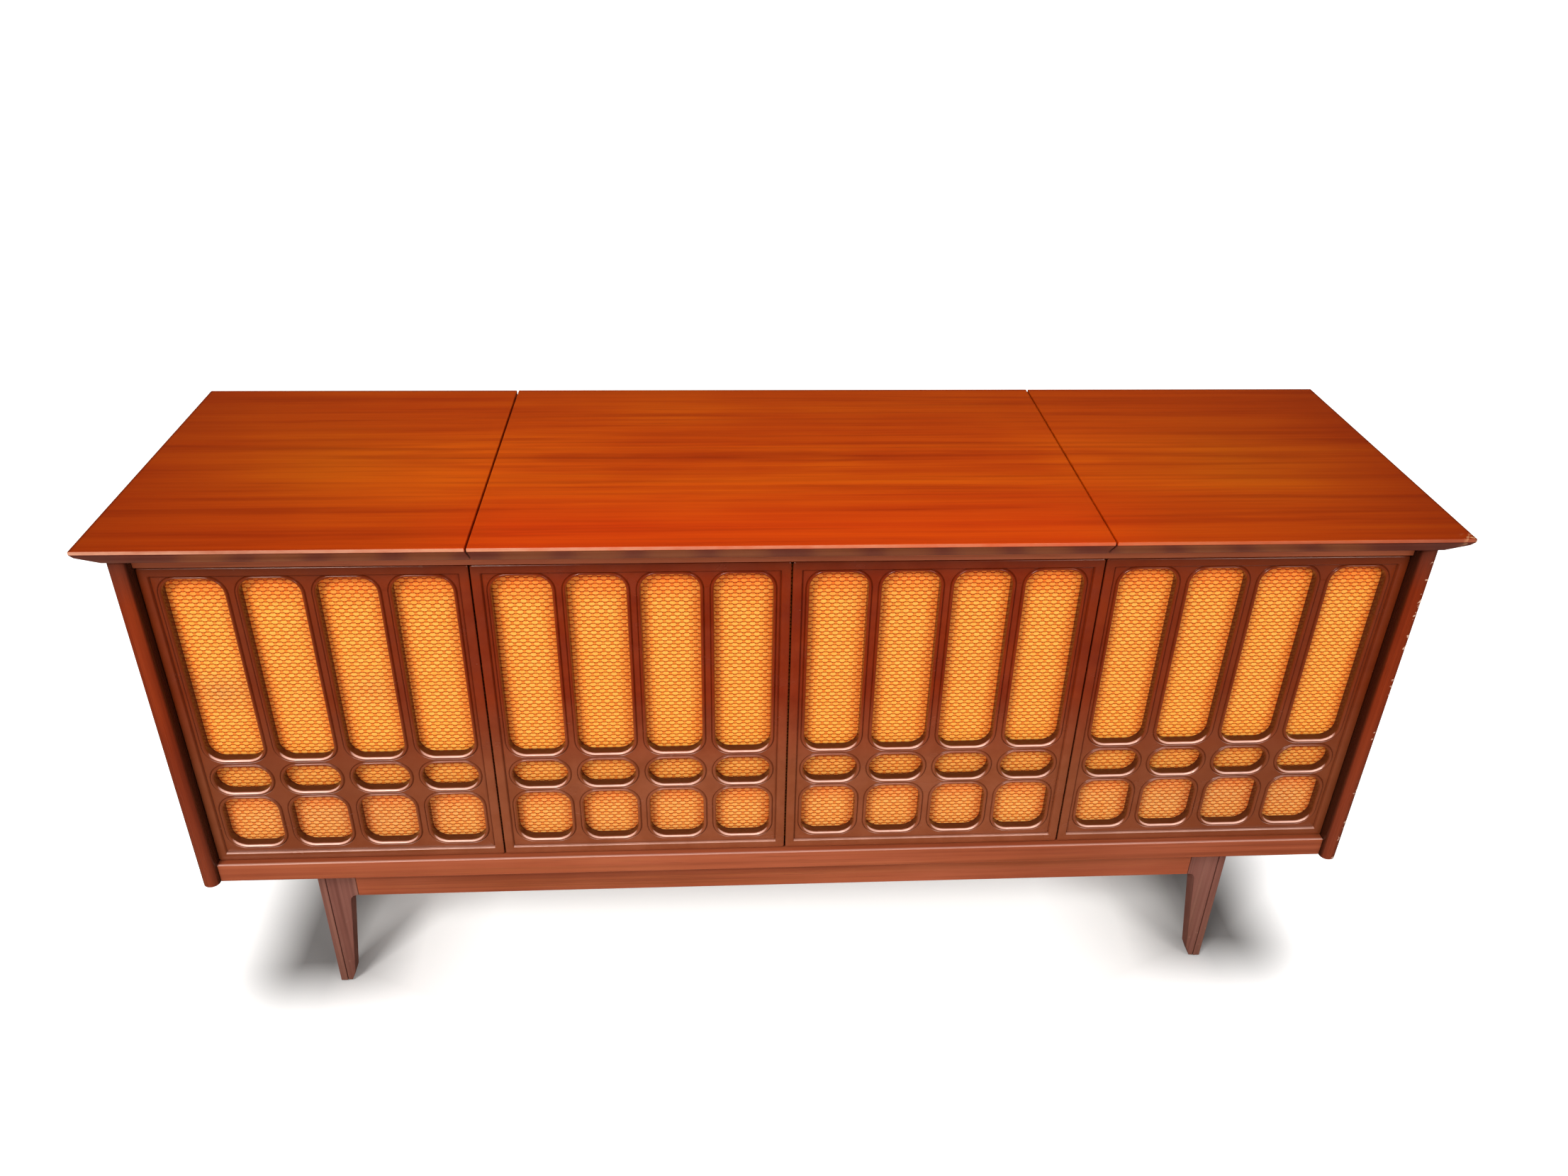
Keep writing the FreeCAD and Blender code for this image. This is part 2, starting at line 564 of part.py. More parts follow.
def side_board(label, side):
    """A thin board down each side of the base: an apron with a leg edge at either end."""
    corners = [("-base_front", "foot_height")]
    corners += [(f"-(base_front - {across})", up) for across, up in LEG_EDGE]
    corners += [(f"base_rear - {across}", up) for across, up in reversed(LEG_EDGE)]
    corners += [("base_rear", "foot_height"), ("base_rear", "body_low"), ("-base_front", "body_low")]
    offset = "base_outer - side_thick" if side > 0 else "-base_outer"
    board = shaped_board(label, "YZ_Plane", offset, corners, "side_thick")
    waists = (size("-(base_front - leg_waist)"), size("base_rear - leg_waist"))
    notches = edges_where(board.Shape, lambda x, y, z: near(z, size("apron_low")) and min(
        abs(y - waist) for waist in waists) < 0.05)
    dress(board, "Fillet", board.Tip, notches, "notch_radius")


def base():
    for side, left_right in ((-1, "left"), (1, "right")):
        side_board(left_right + "_side_board", side)
        for end, front_rear in ((-1, "front"), (1, "rear")):
            leg(f"{front_rear}_{left_right}_leg", side, end)
    span = ("-apron_half", "apron_half")
    keep(block("front_apron", span, ("-base_front + leg_step", "-base_front + leg_step + apron_thick"),
               ("apron_low", "body_low")), "front_apron")
    keep(block("rear_apron", span, ("base_rear - leg_step - apron_thick", "base_rear - leg_step"),
               ("apron_low", "body_low")), "rear_apron")
    glides = []
    for side in (-1, 1):
        for y in ("-base_front + glide_inset", "base_rear - glide_inset"):
            glides.append(rod("glide", "glide_radius", (f"{side} * (base_outer - glide_inset)", y, "0"),
                              "foot_height"))
    keep(fuse("leg_glides", glides), "leg_glides")


# Speakers: each is turned so that its own Z axis points to the back.

def face_back(body, side):
    body.Placement = FreeCAD.Placement(FreeCAD.Vector(), ALONG_Y)
    place(body, (f"{side} * speaker_x", "-baffle_front + baffle_thick", "speaker_z"))


def woofer_frame(label, side):
    """Pressed basket with six windows, and the magnet with its ring-shaped gap."""
    body = new_body(label)
    face_back(body, side)
    skin = "basket_skin"
    revolve(body, [("basket_radius", "0"), ("flange_radius", "0"), ("flange_radius", "flange_thick"),
                   (f"basket_radius + {skin}", "flange_thick"), (f"basket_radius + {skin}", "basket_start"),
                   (f"basket_back + {skin}", f"basket_end + {skin}"),
                   ("magnet_radius", f"basket_end + {skin}"),
                   ("magnet_radius", "magnet_end"), ("0", "magnet_end"), ("0", f"basket_end + {skin}"),
                   ("pole_radius", f"basket_end + {skin}"), ("pole_radius", "magnet_end - gap_deep"),
                   ("gap_radius", "magnet_end - gap_deep"), ("gap_radius", "basket_end"),
                   ("basket_back", "basket_end"), ("basket_radius", "basket_start")])
    window = rectangle(sketch_on(body, "YZ_Plane", "basket_back + 8"), ("-window_half", "window_half"),
                       ("window_start", "window_end"))
    repeat_round(body, pocket(body, window, "window_reach", backwards=True), 6)


def woofer_cone(label, side):
    """Paper cone with its folded rim, centre cap and voice coil."""
    body = new_body(label)
    face_back(body, side)
    rear = "cone_front + paper_thick"
    revolve(body, [("0", "cone_depth - 3"), ("coil_outer", "cone_depth - 1"), ("cone_fold", "cone_front"),
                   ("cone_rim", "cone_front"), ("cone_rim", rear), ("cone_fold", rear),
                   ("coil_outer", "cone_depth + 1"),
                   ("coil_outer", "coil_end"), ("coil_inner", "coil_end"), ("coil_inner", "cone_depth + 1"),
                   ("0", "cone_depth")])


# Record changer

def motor_board():
    """The shelf that carries the changer and the tuner, open under both."""
    shelf = block("shelf_blank", ("-seam_middle + partition_thick / 2", "seam_middle - partition_thick / 2"),
                  ("-baffle_front + baffle_thick + 2", "inner_back - 12"),
                  ("shelf_top - shelf_thick", "shelf_top"))
    below, above = "shelf_top - shelf_thick - 1", "shelf_top + 1"
    changer_well = block("changer_well", ("plate_left + 20", "plate_right - 20"),
                         ("plate_front + 20", "plate_rear - 20"), (below, above))
    tuner_well = block("tuner_well", ("panel_left + 24", "panel_right - 24"),
                       ("panel_front + 14", "panel_rear - 14"), (below, above))
    keep(cut("motor_board", shelf, [changer_well, tuner_well]), "motor_board")


def changer_plate():
    """Pressed steel plate with a turned-down skirt, shaft holes, the idler's stud and the arm rest."""
    body = new_body("changer_plate")
    sheet_top = "shelf_top + plate_height"
    skin = "plate_skin"
    outer = sketch_on(body, "XY_Plane", "shelf_top")
    rounded_rectangle(outer, ("plate_left", "plate_right"), ("plate_front", "plate_rear"), "plate_corner")
    pad(body, outer, "plate_height")
    hollow = sketch_on(body, "XY_Plane", "shelf_top")
    rounded_rectangle(hollow, (f"plate_left + {skin}", f"plate_right - {skin}"),
                      (f"plate_front + {skin}", f"plate_rear - {skin}"), f"plate_corner - {skin}")
    pocket(body, hollow, f"plate_height - {skin}", backwards=True)
    holes = sketch_on(body, "XY_Plane", f"{sheet_top} - {skin} - 1")
    circle(holes, "platter_x", "platter_y", "spindle_radius + 0.5")
    circle(holes, "arm_x", "arm_y", "arm_post + running_gap")
    circle(holes, "over_x", "over_y", "arm_post + running_gap")
    circle(holes, "knob_x", "knob_y", "shaft_radius + running_gap")
    circle(holes, "pulley_x", "pulley_y", "pulley_radius + 1")
    pocket(body, holes, f"{skin} + 2", backwards=True)
    stud = circle(sketch_on(body, "XY_Plane", f"{sheet_top} - 1"), "idler_x", "idler_y", "arm_pin")
    pad(body, stud, "stud_height + 1")
    rest = sketch_on(body, "XY_Plane", f"{sheet_top} - 1")
    rectangle(rest, ("arm_x - arm_half", "arm_x + arm_half"),
              ("rest_middle - rest_half", "rest_middle + rest_half"))
    pad(body, rest, f"arm_axis_z - arm_drop - 0.3 - ({sheet_top}) + 1")


def platter_parts():
    """Cast platter with an inner driving rim, and its ribbed rubber mat."""
    bore = "spindle_radius + running_gap"
    web = "platter_top - platter_web"
    for label, corners in (
            ("platter", [(bore, "platter_low + 1.1"), ("hub_radius", "platter_low + 1.1"),
                         ("hub_radius", web),
                         ("rim_inner", web), ("rim_inner", "platter_low"), ("platter_radius", "platter_low"),
                         ("platter_radius", "platter_top - 2"), ("platter_radius - 2", "platter_top"),
                         (bore, "platter_top")]),
            ("platter_mat", [(bore, "platter_top"), ("mat_radius", "platter_top"),
                             ("mat_radius", "platter_top + mat_thick"),
                             ("mat_well", "platter_top + mat_thick"),
                             ("mat_well - 2", "platter_top + mat_thick - 1"),
                             ("mat_eye", "platter_top + mat_thick - 1"), (bore, "platter_top + 1")])):
        body = new_body(label)
        place(body, ("platter_x", "platter_y", "0"))
        revolve(body, corners)
        if label == "platter_mat":
            for step in range(5):
                radius = f"groove_first + {step} * groove_pitch"
                ring = sketch_on(body, "XY_Plane", "platter_top + mat_thick")
                circle(ring, "0", "0", radius)
                circle(ring, "0", "0", f"{radius} + groove_width")
                pocket(body, ring, "1")


def spindle():
    """The tall centre spindle, on a flange under the hub."""
    body = new_body("spindle")
    place(body, ("platter_x", "platter_y", "0"))
    revolve(body, [("0", "shelf_top"), ("spindle_radius", "shelf_top"),
                   ("spindle_radius", "shelf_top + plate_height"),
                   ("spindle_flange", "shelf_top + plate_height"), ("spindle_flange", "platter_low + 1"),
                   ("spindle_radius", "platter_low + 1"), ("spindle_radius", "spindle_top - 4"),
                   ("spindle_radius - 2", "spindle_top"), ("0", "spindle_top")])


def drive_parts():
    """Rubber-tyred idler that presses inside the rim, and the motor with its stepped pulley."""
    idler = new_body("idler_wheel")
    place(idler, ("idler_x", "idler_y", "0"))
    bore = "arm_pin + running_gap"
    revolve(idler, [(bore, "idler_low"), ("idler_hub", "idler_low"), ("idler_hub", "tyre_low"),
                    ("idler_radius - tyre_deep", "tyre_low"), ("idler_radius", "tyre_low + tyre_slope"),
                    ("idler_radius", "tyre_high - tyre_slope"), ("idler_radius - tyre_deep", "tyre_high"),
                    ("idler_hub", "tyre_high"), ("idler_hub", "idler_high"), (bore, "idler_high")])
    pulley = new_body("motor_pulley")
    place(pulley, ("pulley_x", "pulley_y", "0"))
    revolve(pulley, [("0", "shaft_low"), ("motor_shaft", "shaft_low"), ("motor_shaft", "pulley_low"),
                     ("pulley_radius", "pulley_low"), ("pulley_radius", "pulley_high"), ("0", "pulley_high")])
    under_plate = "shelf_top + plate_height - plate_skin"
    motor = new_body("drive_motor")
    place(motor, ("pulley_x", "pulley_y", "0"))
    face, way = "motor_radius - motor_round", "motor_shaft + running_gap"
    revolve(motor, [("0", "motor_low"), (face, "motor_low"), ("motor_radius", "motor_low + motor_round"),
                    ("motor_radius", "motor_high - motor_round"), (face, "motor_high"),
                    ("motor_neck", "motor_high"), ("motor_neck", under_plate), (way, under_plate),
                    (way, "motor_well"), ("0", "motor_well")])


def tonearm_parts():
    """The swinging post with its fork, and the pickup arm on a cross pin."""
    sheet_top = "shelf_top + plate_height"
    post = rod("post_shaft", "arm_post", ("arm_x", "arm_y", "shelf_top"), "20")
    collar = rod("post_collar", "post_collar", ("arm_x", "arm_y", f"{sheet_top} + 0.1"), "collar_height")
    deep = ("arm_y - fork_deep", "arm_y + fork_deep")
    bridge = block("fork_bridge", ("arm_x - post_collar", "arm_x + post_collar"), deep,
                   ("fork_low", "fork_high"))
    ears = [block("fork_ear", (low, f"{low} + ear_thick"), deep, ("fork_high - 1", "arm_axis_z + ear_rise"))
            for low in ("arm_x - post_collar", "arm_x + post_collar - ear_thick")]
    way = rod("fork_way", "arm_pin + running_gap", ("arm_x - post_collar - 2", "arm_y", "arm_axis_z"),
              "2 * post_collar + 4", ALONG_X)
    keep(cut("tonearm_post", fuse("fork", [post, collar, bridge] + ears), [way]), "tonearm_post")

    body = new_body("tonearm")
    place(body, ("arm_x", "arm_y", "arm_axis_z"))
    right_edge = [("arm_wide", "-arm_length - shell_end"), ("arm_wide", "-arm_length + shell_start"),
                  ("arm_half", "-arm_length + neck_start"), ("arm_half", "-2 * shoulder_start"),
                  ("arm_wide", "-shoulder_start"), ("arm_wide", "arm_back")]
    left_edge = [(f"-{x}", y) for x, y in reversed(right_edge)]
    plan = outline(sketch_on(body, "XY_Plane", "-arm_drop"), right_edge + left_edge)
    beam = pad(body, plan, "arm_deep")
    top, side = size("arm_deep - arm_drop") - 0.1, size("arm_half") - 0.1
    dress(body, "Fillet", beam, edges_where(beam.Shape, lambda x, y, z: z > top and abs(x) > side), "2")
    pin_half = "post_collar - 0.2"
    pin = circle(sketch_on(body, "YZ_Plane", f"-({pin_half})"), "0", "0", "arm_pin")
    pad(body, pin, f"2 * ({pin_half})")
    weight = rectangle(sketch_on(body, "XZ_Plane", "-weight_end"), ("-weight_half", "weight_half"),
                       ("-weight_tall", "weight_tall"))
    pad(body, weight, "weight_end - weight_start")
    cartridge = rectangle(sketch_on(body, "XY_Plane", "-arm_drop - cartridge_deep"),
                          ("-cartridge_half", "cartridge_half"), ("-arm_length - 4", "-arm_length + 14"))
    pad(body, cartridge, "cartridge_deep + 1")
    needle = rectangle(sketch_on(body, "XY_Plane", "-needle_low"), ("-needle_half", "needle_half"),
                       ("-arm_length - needle_half", "-arm_length + needle_half"))
    pad(body, needle, "needle_low - arm_drop - cartridge_deep + 1")


def record_arm():
    """The upright and the flat arm that steadies the records over the spindle."""
    foot = "shelf_top + plate_height + 0.1"
    level = "spindle_top + over_rise"
    shaft = rod("over_shaft", "arm_post", ("over_x", "over_y", "shelf_top + 2"), "plate_height + 2")
    upright = rod("over_upright", "over_radius", ("over_x", "over_y", foot),
                  f"{level} + over_thick - ({foot})")
    bar = doc.addObject("Part::Box", "over_bar")
    bind(bar, Length="over_reach", Width="over_width", Height="over_thick")
    bar.Placement = FreeCAD.Placement(FreeCAD.Vector(), FreeCAD.Rotation(FreeCAD.Vector(0, 0, 1), -45))
    half_across = "over_width / 2 * sin(45)"
    place(bar, (f"over_x - {half_across}", f"over_y - {half_across}", level))
    pad_end = rod("over_end", "over_end", ("platter_x", "platter_y", level), "over_thick")
    keep(fuse("record_arm", [shaft, upright, bar, pad_end]), "record_arm")


# Tuner

TUNER_KNOBS = {"volume_knob": ("first_knob_x", "knob_row_y"),
               "tone_knob": ("first_knob_x + knob_pitch", "knob_row_y"),
               "function_knob": ("first_knob_x + 2 * knob_pitch", "knob_row_y"),
               "tuning_knob": ("tuning_x", "tuning_y")}


def button_side(gap=0):
    """The push button's two spans, widened by a gap."""
    return ((f"first_knob_x - button_half_x - {gap}", f"first_knob_x + button_half_x + {gap}"),
            (f"button_y - button_half_y - {gap}", f"button_y + button_half_y + {gap}"))


def knob(label, spot, base_z, radius, height, shaft_drop):
    """A round knob with finger flutes and its shaft."""
    body = new_body(label)
    place(body, (spot[0], spot[1], base_z))
    head = pad(body, circle(sketch_on(body, "XY_Plane", "knob_gap"), "0", "0", radius), height)
    rim = edges_where(head.Shape, lambda x, y, z: near(z, size(f"knob_gap + {height}")))
    dress(body, "Fillet", head, rim, "2")
    flute = circle(sketch_on(body, "XY_Plane", f"knob_gap + {height} + 1"), f"{radius} + flute_out", "0",
                   "flute_radius")
    repeat_round(body, pocket(body, flute, f"{height} - 2"), 18)
    shaft = circle(sketch_on(body, "XY_Plane", f"-({shaft_drop})"), "0", "0", "shaft_radius")
    pad(body, shaft, f"{shaft_drop} + 1")


def tuner_panel():
    """The tray that holds the dial and the controls."""
    body = new_body("tuner_panel")
    skin = "panel_skin"
    outer = rectangle(sketch_on(body, "XY_Plane", "shelf_top"), ("panel_left", "panel_right"),
                      ("panel_front", "panel_rear"))
    pad(body, outer, "panel_top - shelf_top")
    hollow = rectangle(sketch_on(body, "XY_Plane", "shelf_top"),
                       (f"panel_left + {skin}", f"panel_right - {skin}"),
                       (f"panel_front + {skin}", f"dial_front - glass_rim - {skin}"))
    pocket(body, hollow, f"panel_top - shelf_top - {skin}", backwards=True)
    recess = rectangle(sketch_on(body, "XY_Plane", "panel_top"), ("dial_left", "dial_right"),
                       ("dial_front", "dial_rear"))
    pocket(body, recess, "panel_top - dial_floor")
    rebate = rectangle(sketch_on(body, "XY_Plane", "panel_top"),
                       ("dial_left - glass_rim", "dial_right + glass_rim"),
                       ("dial_front - glass_rim", "dial_rear + glass_rim"))
    pocket(body, rebate, "glass_thick")
    holes = sketch_on(body, "XY_Plane", "panel_top")
    for x, y in TUNER_KNOBS.values():
        circle(holes, x, y, "shaft_radius + running_gap")
    rectangle(holes, *button_side("running_gap"))
    pocket(body, holes, f"{skin} + 1")


def tuner_parts():
    keep(block("dial_glass", ("dial_left - glass_rim + 0.3", "dial_right + glass_rim - 0.3"),
               ("dial_front - glass_rim + 0.3", "dial_rear + glass_rim - 0.3"),
               ("panel_top - glass_thick", "panel_top")), "dial_glass")
    blade = block("pointer_blade", ("pointer_x - blade_half", "pointer_x + blade_half"),
                  ("dial_front + 4", "dial_rear - 4"),
                  ("dial_floor + pointer_lift", "dial_floor + pointer_top"))
    carrier = block("pointer_carrier", ("pointer_x - carrier_half", "pointer_x + carrier_half"),
                    ("dial_rear - 9", "dial_rear - 3"), ("dial_floor + 0.2", "dial_floor + pointer_top"))
    keep(fuse("dial_pointer", [blade, carrier]), "dial_pointer")
    keep(block("power_button", *button_side(), ("panel_top - button_drop", "panel_top + button_rise")),
         "power_button")
    for label, spot in TUNER_KNOBS.items():
        radius = "tuning_radius" if label == "tuning_knob" else "knob_radius"
        knob(label, spot, "panel_top", radius, "knob_height", "12")
    knob("changer_knob", ("knob_x", "knob_y"), "shelf_top + plate_height", "changer_knob_radius",
         "changer_knob_height", "10")


def electrics():
    """The receiver's chassis under the tuner, its power transformer and the mains cord."""
    left, right = "panel_left + chassis_inset", "panel_right - chassis_inset"
    under_shelf = "shelf_top - shelf_thick"
    skin = "chassis_skin"
    chassis = block("chassis_blank", (left, right), ("chassis_front", "chassis_rear"),
                    ("chassis_low", under_shelf))
    inside = block("chassis_inside", (f"{left} + {skin}", f"{right} - {skin}"),
                   (f"chassis_front + {skin}", f"chassis_rear - {skin}"),
                   ("chassis_low - 1", f"{under_shelf} - {skin}"))
    keep(cut("receiver_chassis", chassis, [inside]), "receiver_chassis")

    core = block("core_blank", ("core_left", "core_right"), ("core_front", "core_rear"),
                 (BOTTOM_TOP, f"{BOTTOM_TOP} + core_height"))
    windows = [block("core_window", (low, f"{low} + window_width"), ("core_front - 1", "core_rear + 1"),
                     (f"{BOTTOM_TOP} + core_leg", f"{BOTTOM_TOP} + core_height - core_leg"))
               for low in ("core_left + core_leg", "core_right - core_leg - window_width")]
    winding = block("winding", ("core_left + winding_inset", "core_right - winding_inset"),
                    ("winding_front", "winding_rear"),
                    (f"{BOTTOM_TOP} + core_leg + 1", f"{BOTTOM_TOP} + core_height - core_leg - 1"))
    keep(fuse("power_transformer", [cut("core", core, windows), winding]), "power_transformer")

    body = new_body("power_cord")
    path = outline(sketch_on(body, "YZ_Plane", "cord_x"),
                   [("cord_start", "cord_z"), ("cord_end", "cord_z"), ("cord_end", "cord_low")], close=False)
    profile = circle(sketch_on(body, "XZ_Plane", "-cord_start"), "cord_x", "cord_z", "cord_radius")
    cord = body.newObject("PartDesign::AdditivePipe", "cord_sweep")
    cord.Profile = profile
    cord.Spine = (path, [])
    cord.Transition = 2
    doc.recompute()
    plug = circle(sketch_on(body, "XY_Plane", "plug_low"), "cord_x", "cord_end", "plug_radius")
    pad(body, plug, "plug_length")
    blades = sketch_on(body, "XY_Plane", "blade_low")
    for side in (-1, 1):
        near_x, far_x = f"cord_x + {side} * blade_gap / 2", f"cord_x + {side} * (blade_gap / 2 + blade_thick)"
        rectangle(blades, (near_x, far_x), ("cord_end - blade_wide", "cord_end + blade_wide"))
    pad(body, blades, "plug_low - blade_low + 2")


# Lid hardware

def hinge_leaves():
    """Two butt hinges: three knuckles each, the outer two and the pin on the fixed leaf."""
    fixed = []
    moving = []
    long = "knuckle_length"
    for side in (-1, 1):
        middle = f"{side} * hinge_x"
        ends = (f"{middle} - leaf_length / 2", f"{middle} + leaf_length / 2")
        parts = [block("fixed_sheet", ends, ("back_face", "back_face + leaf_thick"),
                       ("leaf_low", "pin_z - knuckle_radius - leaf_clear + 0.2"))]
        spots = ((ends[0], f"{ends[0]} + {long} - knuckle_gap"),
                 (f"{ends[1]} - {long} + knuckle_gap", ends[1]))
        for low, high in spots:
            parts.append(block("fixed_tab", (low, high), ("back_face", "back_face + leaf_thick"),
                               ("pin_z - knuckle_radius - leaf_clear", "pin_z")))
            parts.append(rod("fixed_knuckle", "knuckle_radius", (low, "pin_y", "pin_z"),
                             f"{long} - knuckle_gap", ALONG_X))
        parts.append(rod("hinge_pin", "hinge_pin", (ends[0], "pin_y", "pin_z"), "leaf_length", ALONG_X))
        fixed.append(fuse("fixed_leaf", parts))
        sheet_part = block("moving_sheet", ends,
                           ("pin_y - leaf_reach", "pin_y - knuckle_radius - leaf_clear"),
                           (UNDER_TOP, f"{UNDER_TOP} + leaf_thick"))
        tab = block("moving_tab", (f"{middle} - {long} / 2", f"{middle} + {long} / 2"),
                    ("pin_y - 4", "pin_y"), (UNDER_TOP, f"{UNDER_TOP} + leaf_thick - 0.3"))
        knuckle = rod("moving_knuckle", "knuckle_radius", (f"{middle} - {long} / 2", "pin_y", "pin_z"), long,
                      ALONG_X)
        bore = rod("knuckle_bore", "hinge_pin + running_gap", (f"{middle} - {long}", "pin_y", "pin_z"),
                   f"2 * {long}", ALONG_X)
        moving.append(cut("moving_leaf", fuse("moving_solid", [sheet_part, tab, knuckle]), [bore]))
    keep(fuse("hinge_fixed_leaves", fixed), "hinge_fixed_leaves")
    keep(fuse("hinge_moving_leaves", moving), "hinge_moving_leaves")


def lid_stay():
    """The slotted arm on the left partition, its shoulder screw, and the lid's stud bracket."""
    wall = "-seam_middle + partition_thick / 2"
    pivot = ("pin_y - stay_back", "pin_z - stay_drop")
    near_x, far_x = f"{wall} + 1", f"{wall} + 1 + stay_thick"
    body = new_body("lid_stay_arm")
    place(body, (near_x, pivot[0], pivot[1]))
    half = "stay_width / 2"
    plan = sketch_on(body, "YZ_Plane")
    rounded_rectangle(plan, ("-stay_slot_end - stay_end", "stay_end"), (f"-{half}", half), f"{half} - 0.2")
    pad(body, plan, "stay_thick")
    openings = sketch_on(body, "YZ_Plane", "-1")
    circle(openings, "0", "0", "stay_stud + running_gap")
    rounded_rectangle(openings, ("-stay_slot_end", "-stay_slot_start"),
                      ("-stay_slot_width / 2", "stay_slot_width / 2"), "stay_slot_width / 2 - 0.1")
    pocket(body, openings, "stay_thick + 2", backwards=True)

    screw = [rod("pivot_washer", "washer_radius", (wall, *pivot), "washer_thick", ALONG_X),
             rod("pivot_shoulder", "stay_stud", (wall, *pivot), "1.2 + stay_thick", ALONG_X),
             rod("pivot_head", "washer_radius", (f"{far_x} + 0.1", *pivot), "stay_thick", ALONG_X)]
    keep(fuse("lid_stay_pivot", screw), "lid_stay_pivot")

    stud_y = f"{pivot[0]} - (stay_reach - stay_back)"
    deep = (f"{stud_y} - bracket_half", f"{stud_y} + bracket_half")
    plate = block("bracket_plate", (f"{far_x} + bracket_start", f"{far_x} + bracket_reach"), deep,
                  (f"{UNDER_TOP} - bracket_plate", UNDER_TOP))
    drop = block("bracket_drop", (f"{far_x} + bracket_start", f"{far_x} + bracket_start + 2"), deep,
                 (f"{pivot[1]} - bracket_drop", UNDER_TOP))
    stud = rod("bracket_stud", "stay_stud", (f"{far_x} + stud_gap", stud_y, pivot[1]), "3", ALONG_X)
    keep(fuse("lid_stay_bracket", [plate, drop, stud]), "lid_stay_bracket")


def build():
    end_panel("left_end_panel", -1)
    end_panel("right_end_panel", 1)
    bottom_board()
    rails()
    partition("left_partition", -1)
    partition("right_partition", 1)
    back_panel()
    back_panel_screws()
    baffle_board()
    top_panels()
    for label, step in (("left_outer_grille", -1.5), ("left_inner_grille", -0.5),
                        ("right_inner_grille", 0.5), ("right_outer_grille", 1.5)):
        grille(label, step)
    grille_cloth()
    base()
    for side, left_right in ((-1, "left"), (1, "right")):
        woofer_frame(left_right + "_woofer_frame", side)
        woofer_cone(left_right + "_woofer_cone", side)
    motor_board()
    changer_plate()
    platter_parts()
    spindle()
    drive_parts()
    tonearm_parts()
    record_arm()
    tuner_panel()
    tuner_parts()
    electrics()
    hinge_leaves()
    lid_stay()


def check_and_export():
    doc.recompute()
    bad = [item.Label for item in doc.Objects if "Invalid" in item.State or "Error" in item.State]
    bad += [item.Label for item in pieces if item.Shape.isNull() or not item.Shape.isValid()]
    if bad:
        raise RuntimeError("failed objects: " + ", ".join(bad))
    os.makedirs("parts", exist_ok=True)
    for item in pieces:
        item.Shape.exportStep("parts/" + item.Label + ".step")


build()
check_and_export()
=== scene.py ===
import json
import math
import bmesh
import bpy
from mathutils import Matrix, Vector
from mathutils.geometry import delaunay_2d_cdt


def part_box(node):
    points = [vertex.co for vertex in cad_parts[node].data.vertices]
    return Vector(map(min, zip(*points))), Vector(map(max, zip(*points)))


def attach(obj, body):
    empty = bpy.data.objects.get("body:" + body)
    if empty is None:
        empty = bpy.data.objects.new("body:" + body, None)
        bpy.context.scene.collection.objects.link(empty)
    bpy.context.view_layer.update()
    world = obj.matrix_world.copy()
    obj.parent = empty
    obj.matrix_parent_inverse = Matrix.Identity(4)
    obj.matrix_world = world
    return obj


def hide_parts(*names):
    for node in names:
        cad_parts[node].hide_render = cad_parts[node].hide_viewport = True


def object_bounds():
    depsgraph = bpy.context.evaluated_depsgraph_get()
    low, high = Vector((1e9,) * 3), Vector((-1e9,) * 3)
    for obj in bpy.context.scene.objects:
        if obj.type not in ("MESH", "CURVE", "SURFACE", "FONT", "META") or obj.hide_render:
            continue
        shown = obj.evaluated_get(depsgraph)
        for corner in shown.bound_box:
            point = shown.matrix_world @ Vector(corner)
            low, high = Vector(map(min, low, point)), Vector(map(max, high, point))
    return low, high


# Looks for the radio phonograph console. Metres; X right, Y back, Z up, origin on the floor.
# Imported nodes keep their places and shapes; the grilles and their cloth are rebuilt here in fine detail.

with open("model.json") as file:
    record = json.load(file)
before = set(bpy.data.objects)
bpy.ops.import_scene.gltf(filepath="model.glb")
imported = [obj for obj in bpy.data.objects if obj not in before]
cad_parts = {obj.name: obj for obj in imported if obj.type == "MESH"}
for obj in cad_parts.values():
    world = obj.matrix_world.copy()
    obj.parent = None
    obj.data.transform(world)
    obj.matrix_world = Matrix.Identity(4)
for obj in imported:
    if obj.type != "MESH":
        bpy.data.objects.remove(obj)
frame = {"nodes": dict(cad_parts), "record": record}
CAD_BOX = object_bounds()
NODES = frame["nodes"]
MM = 0.001

# Where the main parts lie, from the frame.
TOP_FRONT, TOP_REAR = CAD_BOX[0][1], CAD_BOX[1][1]
TOP_END, TOP_HIGH = CAD_BOX[1][0], CAD_BOX[1][2]
LAND = 4 * MM             # height of the flat front edge of the top
RAIL_FRONT, RAIL_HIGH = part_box("bottom_front_rail")[0].y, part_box("bottom_front_rail")[1].z
END_LOW, END_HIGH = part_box("right_end_panel")

# Grille layout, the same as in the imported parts.
GRILLES = ("left_outer_grille", "left_inner_grille", "right_inner_grille", "right_outer_grille")
PANEL_PITCH = 350 * MM
COLUMN_PITCH = 81.2 * MM
RING_WIDTH = 73 * MM
RING_CORNER = 22.5 * MM
OPENINGS = ((410.5 * MM, 664.5 * MM), (361 * MM, 407 * MM), (277.5 * MM, 358.5 * MM))
LOWER_RIM = (268 * MM, 272 * MM)
FIELD_BACK = 3.0 * MM     # the field lies this far behind the border's face
FIELD_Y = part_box(GRILLES[0])[0].y + FIELD_BACK
WEAVE_X = 5.0 * MM
WEAVE_Z = 4.8 * MM

# Lighting. Polished faces mirror a dim room, with a bright sky overhead.
WORLD_LIGHT = 0.46
WORLD_MIRRORED = 0.05
SKY_EDGE = 0.80           # sine of the height where the mirrored sky starts
SKY_FADE = 0.10           # the same measure, over which it grows to full strength
SKY_MIRRORED = 11.0
